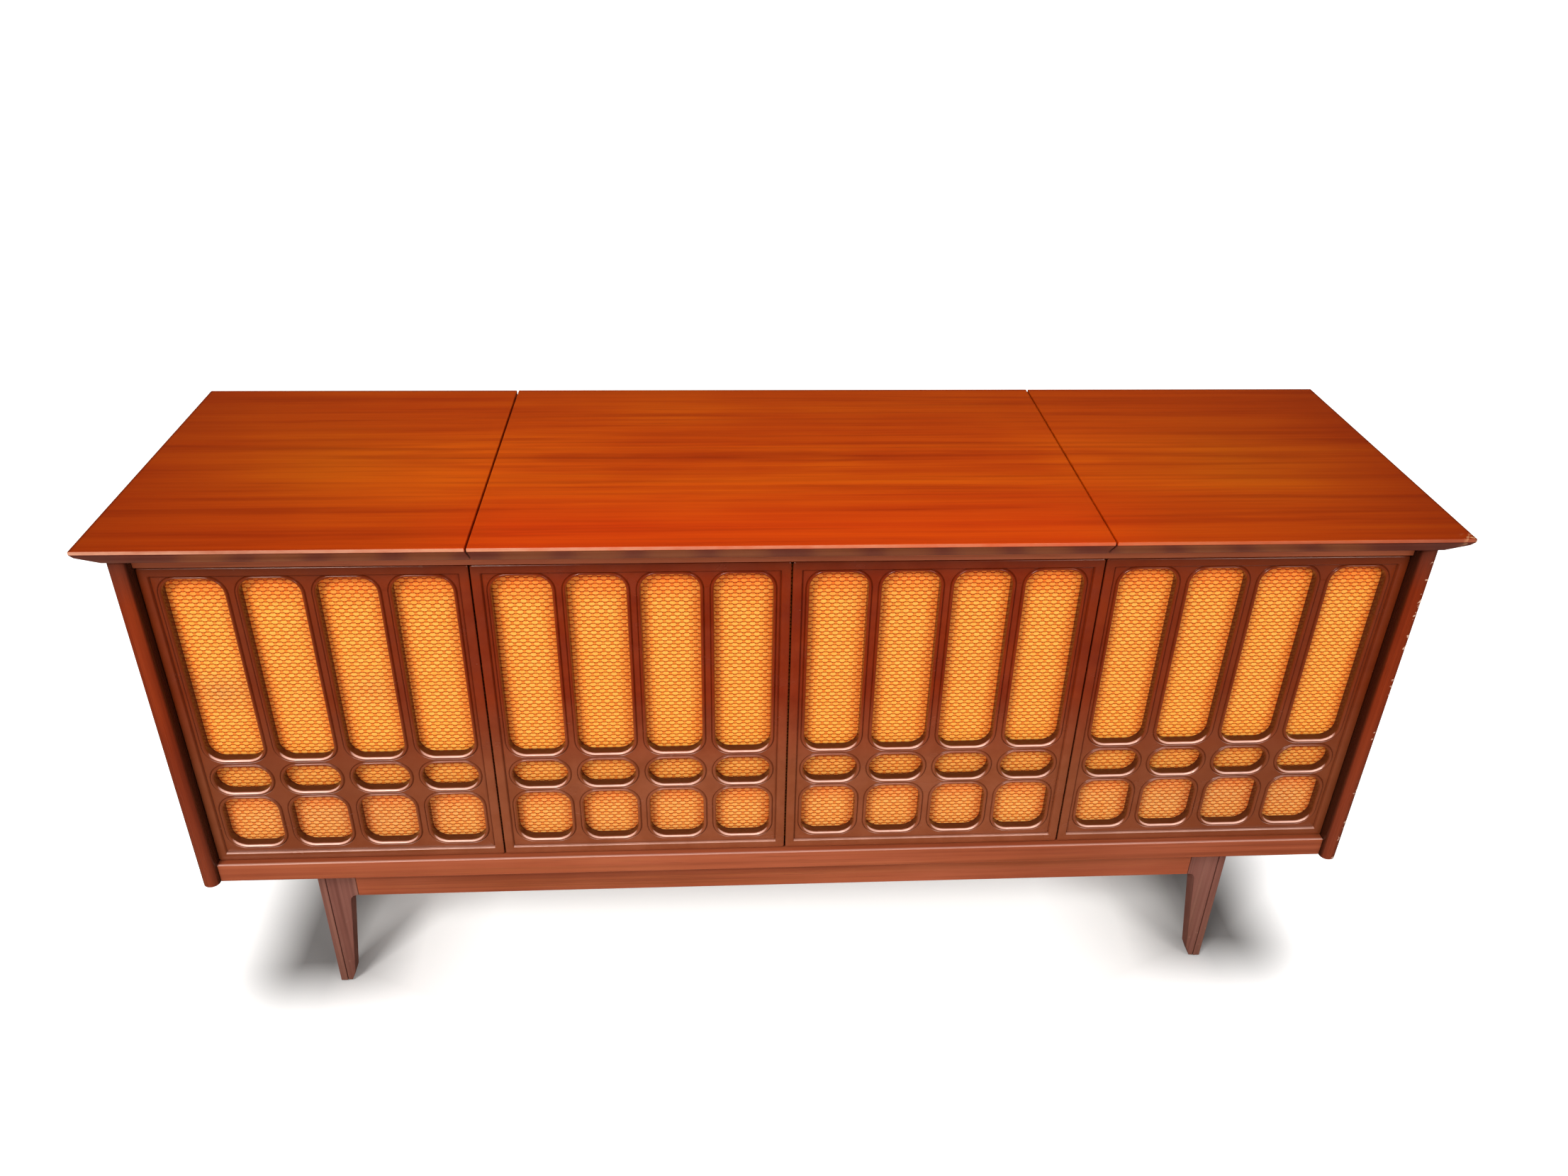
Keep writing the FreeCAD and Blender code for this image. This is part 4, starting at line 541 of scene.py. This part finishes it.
LOOKS = {
    "top_veneer": lambda: wood("top_veneer_wood", *TOP_WOOD, grain="x", rough=0.30, shine=0.10,
                               finish=top_tone_and_shade, tint=(1.0, 0.30, 0.03)),
    "rail_wood": lambda: wood("cabinet_wood_rails", *RAIL_WOOD, grain="x", rough=0.28, shine=0.30,
                              figure=0.6, finish=rail_edge_highlight),
    "end_wood": lambda: wood("cabinet_wood_ends", *END_WOOD, grain="z", rough=0.26, shine=0.20,
                             figure=0.6, finish=end_tone_and_shade, tint=(1.0, 0.6, 0.45)),
    "leg_wood": lambda: wood("cabinet_wood_legs", *LEG_WOOD, grain="z", rough=0.32, shine=0.30,
                             figure=0.6, finish=leg_finish),
    "plain_wood": lambda: plain_wood("plain_board", *BOARD, "x"),
    "upright_wood": lambda: plain_wood("plain_board_upright", *BOARD, "z"),
    "hardboard": hardboard,
    "grille_plastic": grille_plastic,
    "grille_fabric": cloth_material,
    "zinc_steel": lambda: metal("zinc_steel_plate", (0.55, 0.55, 0.52), 0.38, wear=0.3),
    "hinge_brass": lambda: metal("hinge_brass_plate", (0.62, 0.44, 0.18), 0.35, "x", wear=0.4),
    "speaker_steel": lambda: enamel("speaker_steel_paint", (0.045, 0.046, 0.05), 0.42),
    "speaker_paper": paper_cone,
    "changer_paint": lambda: enamel("changer_paint_brown", (0.085, 0.062, 0.048), 0.34, 0.2),
    "cast_alloy": lambda: metal("cast_alloy_turned", (0.74, 0.74, 0.73), 0.28, "round", wear=0.15),
    "mat_rubber": lambda: rubber("mat_rubber_black", (0.022, 0.021, 0.020)),
    "bright_metal": lambda: metal("bright_metal_plate", (0.82, 0.82, 0.82), 0.12, wear=0.1),
    "turned_brass": lambda: metal("turned_brass_pulley", (0.72, 0.52, 0.22), 0.22, wear=0.2),
    "dark_enamel": lambda: enamel("dark_enamel_paint", (0.03, 0.03, 0.03), 0.4),
    "arm_plastic": lambda: enamel("arm_plastic_ivory", (0.62, 0.55, 0.42), 0.36, 0.15),
    "panel_metal": lambda: metal("panel_metal_gold", (0.66, 0.55, 0.36), 0.34, "x", wear=0.08,
                                 finish=dial_finish),
    "dial_pane": glass,
    "dial_print": lambda: enamel("dial_print_cream", (0.80, 0.72, 0.55), 0.5, 0.1),
    "pointer_red": lambda: enamel("pointer_red_paint", (0.62, 0.035, 0.012), 0.35),
    "knob_plastic": lambda: enamel("knob_plastic_brown", (0.040, 0.022, 0.014), 0.22, 0.2),
}
MADE = {}
WOOD_EDGE = 0.9 * MM
METAL_EDGE = 0.35 * MM
WELD_DISTANCE = 0.01 * MM


def look(name):
    """The material of that name, made once."""
    if name not in MADE:
        MADE[name] = LOOKS[name]()
    return MADE[name]


def dress_nodes():
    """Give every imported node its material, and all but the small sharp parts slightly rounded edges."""
    slots = {part["node"]: part["material_slot"] for part in frame["record"]["subparts"]}
    sharp = ("screw", "glide", "pivot", "pulley", "idler", "glass", "stay_arm")
    for name, node in NODES.items():
        slot = slots[name]
        if slot == "cabinet_wood":
            kinds = {"end_panel": "end_wood", "leg": "leg_wood", "side_board": "leg_wood"}
            slot = next((kinds[word] for word in kinds if word in name), "rail_wood")
        if "partition" in name:
            slot = "upright_wood"
        node.data.materials.clear()
        node.data.materials.append(look(slot))
        for face in node.data.polygons:
            face.material_index = 0
        width = WOOD_EDGE if "wood" in slot or slot == "top_veneer" else METAL_EDGE
        if not any(word in name for word in sharp):
            round_edges(node, width)


def round_edges(item, width, segments=2):
    """Round every sharp edge by that much."""
    weld = item.modifiers.new("weld", "WELD")
    weld.merge_threshold = WELD_DISTANCE
    bevel = item.modifiers.new("edges", "BEVEL")
    bevel.width = width
    bevel.segments = segments
    bevel.limit_method = "ANGLE"
    bevel.angle_limit = math.radians(32)
    bevel.harden_normals = True
    bevel.use_clamp_overlap = True


# ---------------------------------------------------------------- mesh helpers

def new_piece(name, bm, material, body="cabinet", smooth_angle=38):
    """Turn a bmesh into a piece that rides on a body."""
    bmesh.ops.remove_doubles(bm, verts=bm.verts, dist=1e-6)
    bmesh.ops.recalc_face_normals(bm, faces=bm.faces)
    limit = math.radians(smooth_angle)
    for face in bm.faces:
        face.smooth = True
    for edge in bm.edges:
        edge.smooth = len(edge.link_faces) == 2 and edge.calc_face_angle(0) < limit
    mesh = bpy.data.meshes.new(name)
    bm.to_mesh(mesh)
    bm.free()
    mesh.materials.append(material)
    item = bpy.data.objects.new(name, mesh)
    bpy.context.scene.collection.objects.link(item)
    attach(item, body)
    return item


def rounded_loop(x, z, width, height, radius, steps):
    """Points round a rounded rectangle in the XZ plane, anticlockwise seen from the front."""
    radius = max(min(radius, width / 2 - 1e-6, height / 2 - 1e-6), 1e-5)
    points = []
    for corner, (sx, sz) in enumerate(((1, -1), (1, 1), (-1, 1), (-1, -1))):
        centre_x = x + sx * (width / 2 - radius)
        centre_z = z + sz * (height / 2 - radius)
        for step in range(steps + 1):
            angle = math.radians(-90 + 90 * corner + 90 * step / steps)
            points.append((centre_x + radius * math.cos(angle), centre_z + radius * math.sin(angle)))
    return points


def strip(bm, first, second):
    """Quads between two closed loops of vertices."""
    count = len(first)
    for index in range(count):
        after = (index + 1) % count
        bm.faces.new((first[index], first[after], second[after], second[index]))


def inside_loop(px, pz, loop):
    """Whether a point is inside a closed loop of points."""
    hit = False
    for (ax, az), (bx, bz) in zip(loop, loop[1:] + loop[:1]):
        if (az > pz) != (bz > pz) and px < (bx - ax) * (pz - az) / (bz - az) + ax:
            hit = not hit
    return hit


def plate_with_holes(bm, border, holes, y):
    """Flat triangles between an outer loop and holes, on loops of vertices already made."""
    loops = [border] + holes
    flat = []
    edges = []
    verts = []
    for loop in loops:
        start = len(flat)
        for index, vert in enumerate(loop):
            flat.append(Vector((vert.co.x, vert.co.z)))
            verts.append(vert)
            edges.append((start + index, start + (index + 1) % len(loop)))
    points, _, faces, origins, _, _ = delaunay_2d_cdt(flat, edges, [], 0, 1e-9)
    outlines = [[(vert.co.x, vert.co.z) for vert in loop] for loop in loops]
    made = {}
    for index, point in enumerate(points):
        made[index] = verts[origins[index][0]] if origins[index] else bm.verts.new((point.x, y, point.y))
    for face in faces:
        middle_x = sum(points[index].x for index in face) / 3
        middle_z = sum(points[index].y for index in face) / 3
        if not inside_loop(middle_x, middle_z, outlines[0]):
            continue
        if any(inside_loop(middle_x, middle_z, hole) for hole in outlines[1:]):
            continue
        bm.faces.new([made[index] for index in face])


# ---------------------------------------------------------------- grilles

FIELD_THICK = 4 * MM
# Inward distance from the ring's outer edge, and height in front of the field (mm).
BEAD_FRONT = ((-1.4, 0.0), (-0.9, -0.45), (-0.4, -0.55), (0.0, -0.1), (0.2, 0.6), (0.5, 1.2), (0.95, 1.6),
              (1.4, 1.7), (1.95, 1.55), (2.45, 1.15), (2.9, 0.6), (3.25, -0.05), (3.5, -0.8), (3.6, -1.7),
              (3.65, -11.0))
BEAD_BACK = ((0.6, -11.0), (0.6, -4.0))
# Inward distance from the panel's outer edge, and height in front of the field (mm).
RIM_FRONT = ((11.9, 0.0), (11.3, -0.5), (10.8, -0.3), (10.5, 0.6), (10.2, 2.2), (9.7, 2.8), (8.9, 3.0),
             (1.4, 3.0), (0.6, 2.7), (0.0, 2.0), (0.0, -11.0))
RIM_BACK = ((10.5, -11.0), (10.5, -4.0))


def moulded(bm, centre, size, field_y, profile, corner, steps):
    """Sweep a profile round a rounded rectangle; corner gives the radius at each inward distance."""
    made = []
    for inward, forward in profile:
        inward *= MM
        wide, tall = size[0] - 2 * inward, size[1] - 2 * inward
        points = rounded_loop(*centre, wide, tall, corner(inward), steps)
        made.append([bm.verts.new((x, field_y - forward * MM, z)) for x, z in points])
    for first, second in zip(made, made[1:]):
        strip(bm, first, second)
    return made[0], made[-1]


def bead_corner(inward):
    return RING_CORNER - inward


def rim_corner(inward):
    return max(1.0 * MM, 2.2 * MM - 0.1 * inward)


def grille(name):
    """One moulded panel: rim, flat field, twelve beads with deep walls, and a closed back."""
    low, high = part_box(name)
    middle_x, middle_z = (low.x + high.x) / 2, (low.z + high.z) / 2
    size = (high.x - low.x, high.z - low.z)
    field_y = low.y + FIELD_BACK
    bm = bmesh.new()
    rim = RIM_FRONT + RIM_BACK
    rim_start, rim_end = moulded(bm, (middle_x, middle_z), size, field_y, rim, rim_corner, 3)
    fronts, backs = [], []
    for column in range(4):
        x = middle_x + (column - 1.5) * COLUMN_PITCH
        for opening_low, opening_high in OPENINGS:
            centre = (x, (opening_low + opening_high) / 2)
            size = (RING_WIDTH, opening_high - opening_low)
            start, end = moulded(bm, centre, size, field_y, BEAD_FRONT + BEAD_BACK, bead_corner, 8)
            fronts.append(start)
            backs.append(end)
    plate_with_holes(bm, rim_start, fronts, field_y)
    plate_with_holes(bm, rim_end, backs, field_y + FIELD_THICK)
    mould_mark(bm, middle_x + COLUMN_PITCH, field_y)
    piece = new_piece(name + "_moulding", bm, look("grille_plastic"))
    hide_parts(name)


def mould_mark(bm, x, field_y):
    """The small raised flash line across one rib near the top."""
    half_x, z, half_z, rise = 3.4 * MM, 644.6 * MM, 0.5 * MM, 0.45 * MM
    base = [bm.verts.new((x + sx * half_x, field_y + 0.1 * MM, z + sz * half_z))
            for sx, sz in ((-1, -1), (1, -1), (1, 1), (-1, 1))]
    crest = [bm.verts.new((x + sx * (half_x - 0.3 * MM), field_y - rise, z + sz * 0.4 * half_z))
             for sx, sz in ((-1, -1), (1, -1), (1, 1), (-1, 1))]
    strip(bm, base, crest)
    bm.faces.new(crest)
    bm.faces.new(base)


# ---------------------------------------------------------------- cloth

YARN_SWING = 0.34 * MM
YARN_ROUND = 0.62 * MM
YARN_STEPS = 3            # mesh squares across one yarn
BACKING = 0.35 * MM       # thickness behind the yarns
CLOTH_HEM = 3 * MM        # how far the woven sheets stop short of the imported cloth


def weave_height(column, row, u, v):
    """Height of the upper yarn at a point of one cell; u and v run from -0.5 to 0.5."""
    sign = 1 if (column + row) % 2 else -1
    across_round = YARN_ROUND * math.sqrt(max(0.0, 1 - 4 * v * v))
    upward_round = YARN_ROUND * math.sqrt(max(0.0, 1 - 4 * u * u))
    swing = sign * YARN_SWING
    return max(across_round + swing * math.cos(math.pi * u), upward_round - swing * math.cos(math.pi * v))


def cloth(name, low_x, high_x, low_z, high_z, y_back):
    """A stretched woven sheet whose yarns really pass over and under each other."""
    bm = bmesh.new()
    first_column, last_column = round(low_x / WEAVE_X), round(high_x / WEAVE_X)
    first_row, last_row = round(low_z / WEAVE_Z), round(high_z / WEAVE_Z)
    wide = (last_column - first_column) * YARN_STEPS
    tall = (last_row - first_row) * YARN_STEPS
    grid = []
    for j in range(tall + 1):
        line = []
        row = min(first_row + j // YARN_STEPS, last_row - 1)
        v = j / YARN_STEPS - (row - first_row) - 0.5
        for i in range(wide + 1):
            column = min(first_column + i // YARN_STEPS, last_column - 1)
            u = i / YARN_STEPS - (column - first_column) - 0.5
            x = (first_column + i / YARN_STEPS) * WEAVE_X
            z = (first_row + j / YARN_STEPS) * WEAVE_Z
            rise = weave_height(column, row, u, v)
            line.append(bm.verts.new((x, y_back - BACKING - rise, z)))
        grid.append(line)
    for j in range(tall):
        for i in range(wide):
            bm.faces.new((grid[j][i], grid[j][i + 1], grid[j + 1][i + 1], grid[j + 1][i]))
    right_side = [line[-1] for line in grid[:-1]]
    left_side = [line[0] for line in grid[:0:-1]]
    rim = grid[0][:-1] + right_side + grid[-1][:0:-1] + left_side
    back = [bm.verts.new((vert.co.x, y_back, vert.co.z)) for vert in rim]
    strip(bm, rim, back)
    bm.faces.new(back)
    piece = new_piece(name, bm, look("grille_fabric"), smooth_angle=100)
    return piece


def cloths():
    """One woven sheet behind each grille, stretched over the baffle board."""
    cloth_low, cloth_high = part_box("grille_cloth")
    for name in GRILLES:
        low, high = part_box(name)
        piece = cloth(name.replace("grille", "cloth"), max(low.x, cloth_low.x), min(high.x, cloth_high.x),
                      cloth_low.z + CLOTH_HEM, cloth_high.z - CLOTH_HEM, cloth_high.y)
        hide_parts("grille_cloth")


# ---------------------------------------------------------------- dial

LOW_BAND = ("55", "60", "70", "80", "100", "120", "160")
HIGH_BAND = ("88", "92", "96", "100", "104", "108")
DIAL_DEPTH = 12 * MM      # from the underside of the glass to the floor of the recess
PRINT_THICK = 0.3 * MM
SCALE_HALF = 94 * MM
SCALE_STEPS = 40
LONG_EVERY = 5
LINE_OFFSET = 9 * MM      # the line of each band lies this far from the middle
LINE_HALF = 0.3 * MM
STROKE_HALF = 0.25 * MM
SHORT_STROKE = 3 * MM
LONG_STROKE = 6 * MM
NUMBER_OFFSET = 12 * MM   # from a band's line to the middle of its numbers
NUMBER_SIZE = 8 * MM


def bar(bm, low, high):
    """A thin raised bar between two corners."""
    corners = [(low[0], low[1]), (high[0], low[1]), (high[0], high[1]), (low[0], high[1])]
    base = [bm.verts.new((x, y, low[2])) for x, y in corners]
    crest = [bm.verts.new((x, y, high[2])) for x, y in corners]
    strip(bm, base, crest)
    bm.faces.new(base)
    bm.faces.new(crest)


def dial_scale():
    """Printed strokes and plain numbers under the dial glass, one row for each waveband."""
    glass_low, glass_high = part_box("dial_glass")
    pointer_low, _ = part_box("dial_pointer")
    recess = glass_low.z - DIAL_DEPTH
    thick = min(PRINT_THICK, (pointer_low.z - recess) / 3)
    middle_x, middle_y = (glass_low.x + glass_high.x) / 2, (glass_low.y + glass_high.y) / 2
    marks = bmesh.new()
    digits = bmesh.new()
    for side, labels in ((1, LOW_BAND), (-1, HIGH_BAND)):
        line_y = middle_y + side * LINE_OFFSET
        bar(marks, (middle_x - SCALE_HALF, line_y - LINE_HALF, recess),
            (middle_x + SCALE_HALF, line_y + LINE_HALF, recess + thick))
        for index in range(SCALE_STEPS + 1):
            x = middle_x - SCALE_HALF + 2 * SCALE_HALF * index / SCALE_STEPS
            length = LONG_STROKE if index % LONG_EVERY == 0 else SHORT_STROKE
            near, far = sorted((line_y, line_y + side * length))
            bar(marks, (x - STROKE_HALF, near, recess), (x + STROKE_HALF, far, recess + thick))
        for index, label in enumerate(labels):
            x = middle_x + SCALE_HALF * (2 * index / (len(labels) - 1) - 1) * 0.94
            number(digits, label, x, line_y + side * NUMBER_OFFSET, recess, thick)
    for name, bm in (("dial_scale_strokes", marks), ("dial_scale_numbers", digits)):
        piece = new_piece(name, bm, look("dial_print"))


def number(bm, label, x, y, z, thick):
    """One number in raised strokes, centred on a point and read from the front."""
    curve = bpy.data.curves.new("number", "FONT")
    curve.body = label
    curve.size = NUMBER_SIZE
    curve.extrude = thick / 2
    curve.align_x, curve.align_y = "CENTER", "CENTER"
    holder = bpy.data.objects.new("number", curve)
    bpy.context.scene.collection.objects.link(holder)
    bpy.context.view_layer.update()
    shape = bpy.data.meshes.new_from_object(holder.evaluated_get(bpy.context.evaluated_depsgraph_get()))
    for vert in shape.vertices:
        vert.co += Vector((x, y, z + thick / 2))
    bm.from_mesh(shape)
    bpy.data.objects.remove(holder)
    bpy.data.curves.remove(curve)
    bpy.data.meshes.remove(shape)


# ---------------------------------------------------------------- stage

def stage():
    """Pale floor, soft lights and the camera."""
    bm = bmesh.new()
    corners = [(sx * FLOOR_REACH, sy * FLOOR_REACH) for sx, sy in ((-1, -1), (1, -1), (1, 1), (-1, 1))]
    bm.faces.new([bm.verts.new((x, y, -FLOOR_DROP)) for x, y in corners])
    mesh = bpy.data.meshes.new("floor")
    bm.to_mesh(mesh)
    bm.free()
    mesh.materials.append(floor_material())
    floor = bpy.data.objects.new("floor", mesh)
    bpy.context.scene.collection.objects.link(floor)

    surroundings()
    for light in LIGHTS:
        area_light(*light)

    camera = bpy.data.cameras.new("camera")
    camera.lens = CAMERA_LENS
    camera.sensor_width = CAMERA_SENSOR
    seat = bpy.data.objects.new("camera", camera)
    seat.location = CAMERA_PLACE
    seat.rotation_euler = [math.radians(angle) for angle in CAMERA_TURN]
    bpy.context.scene.collection.objects.link(seat)
    bpy.context.scene.camera = seat
    bpy.context.scene.view_settings.view_transform = "Standard"


def floor_material():
    """Pale floor: it glows white away from the cabinet, with a painted shadow round the cabinet's ends,
    and looks dark in reflections.
    """
    t = Tree("floor_pale")
    path = t.add("LightPath")
    point, x, y, _ = t.place()
    grain = t.noise(point, 3.0, 2, 0.5)
    colour = t.mix(t.ramp(grain, 0.3, 0.7), (0.86, 0.86, 0.865), (0.88, 0.88, 0.88))
    beyond_x = t.math("MAXIMUM", t.math("SUBTRACT", t.math("ABSOLUTE", x), SHADOW_HALF_X), 0.0)
    beyond_y = t.math("MAXIMUM", t.math("SUBTRACT", t.math("ABSOLUTE", y), SHADOW_HALF_Y), 0.0)
    away = t.math("SQRT", t.math("ADD", t.math("POWER", beyond_x, 2.0), t.math("POWER", beyond_y, 2.0)))
    fade = t.math("POWER", t.ramp(away, 0.0, SHADOW_REACH), 1.2)
    between_legs = t.ramp(t.math("ABSOLUTE", x), 0.60, 0.40, 0.0, 0.50)
    strength = t.math("MULTIPLY", t.math("MAXIMUM", fade, between_legs), FLOOR_GLOW)
    # Painted shadow: the floor is darkened round the ends of the cabinet.
    near_ends = t.ramp(t.math("ABSOLUTE", x), 0.50, 0.62)
    painted_end_shadow = t.math("MULTIPLY", t.ramp(away, DARK_REACH, 0.0), near_ends)
    colour = t.mix(t.math("MULTIPLY", painted_end_shadow, 0.85), colour, (0.10, 0.095, 0.095))
    lit = t.add("BsdfDiffuse", {"Color": colour}).outputs[0]
    glow = t.add("Emission", {"Color": (1.0, 1.0, 1.0), "Strength": strength}).outputs[0]
    seen = t.add("AddShader", {0: lit, 1: glow}).outputs[0]
    plain = t.add("MixShader", {0: path.outputs["Is Camera Ray"], 1: lit, 2: seen}).outputs[0]
    dark = t.add("BsdfDiffuse", {"Color": (0.05, 0.035, 0.028)}).outputs[0]
    whole = t.add("MixShader", {0: path.outputs["Is Glossy Ray"], 1: plain, 2: dark}).outputs[0]
    t.links.new(whole, t.output.inputs[0])
    return t.material


def surroundings():
    """White light from all round; polished faces mirror a bright sky overhead and dark elsewhere."""
    world = bpy.data.worlds.new("studio")
    bpy.context.scene.world = world
    world.use_nodes = True
    tree = world.node_tree

    def new(kind, **inputs):
        node = tree.nodes.new("ShaderNode" + kind)
        for name, value in inputs.items():
            if isinstance(value, bpy.types.NodeSocket):
                tree.links.new(value, node.inputs[name.replace("_", " ")])
            else:
                node.inputs[name.replace("_", " ")].default_value = value
        return node.outputs[0]

    direction = tree.nodes.new("ShaderNodeSeparateXYZ")
    tree.links.new(tree.nodes.new("ShaderNodeTexCoord").outputs["Generated"], direction.inputs[0])
    overhead = new("MapRange", Value=direction.outputs[2], From_Min=SKY_EDGE, From_Max=SKY_EDGE + SKY_FADE,
                   To_Min=WORLD_MIRRORED, To_Max=SKY_MIRRORED)
    path = tree.nodes.new("ShaderNodeLightPath")
    lighting = new("MapRange", Value=path.outputs["Is Glossy Ray"], To_Min=WORLD_LIGHT, To_Max=overhead)
    strength = new("MapRange", Value=path.outputs["Is Camera Ray"], To_Min=lighting, To_Max=1.0)
    tree.links.new(strength, tree.nodes["Background"].inputs[1])
    tree.nodes["Background"].inputs[0].default_value = (1.0, 0.985, 0.97, 1)


def area_light(name, place, aim, wide, tall, power):
    """One soft rectangular light, turned to its aim."""
    lamp = bpy.data.lights.new(name, "AREA")
    lamp.shape = "RECTANGLE"
    lamp.size, lamp.size_y = wide, tall
    lamp.energy = power
    lamp.color = (1.0, 0.98, 0.95)
    seat = bpy.data.objects.new(name, lamp)
    seat.location = place
    seat.rotation_euler = (Vector(aim) - Vector(place)).to_track_quat("-Z", "Y").to_euler()
    bpy.context.scene.collection.objects.link(seat)


dress_nodes()
for grille_name in GRILLES:
    grille(grille_name)
cloths()
dial_scale()
stage()
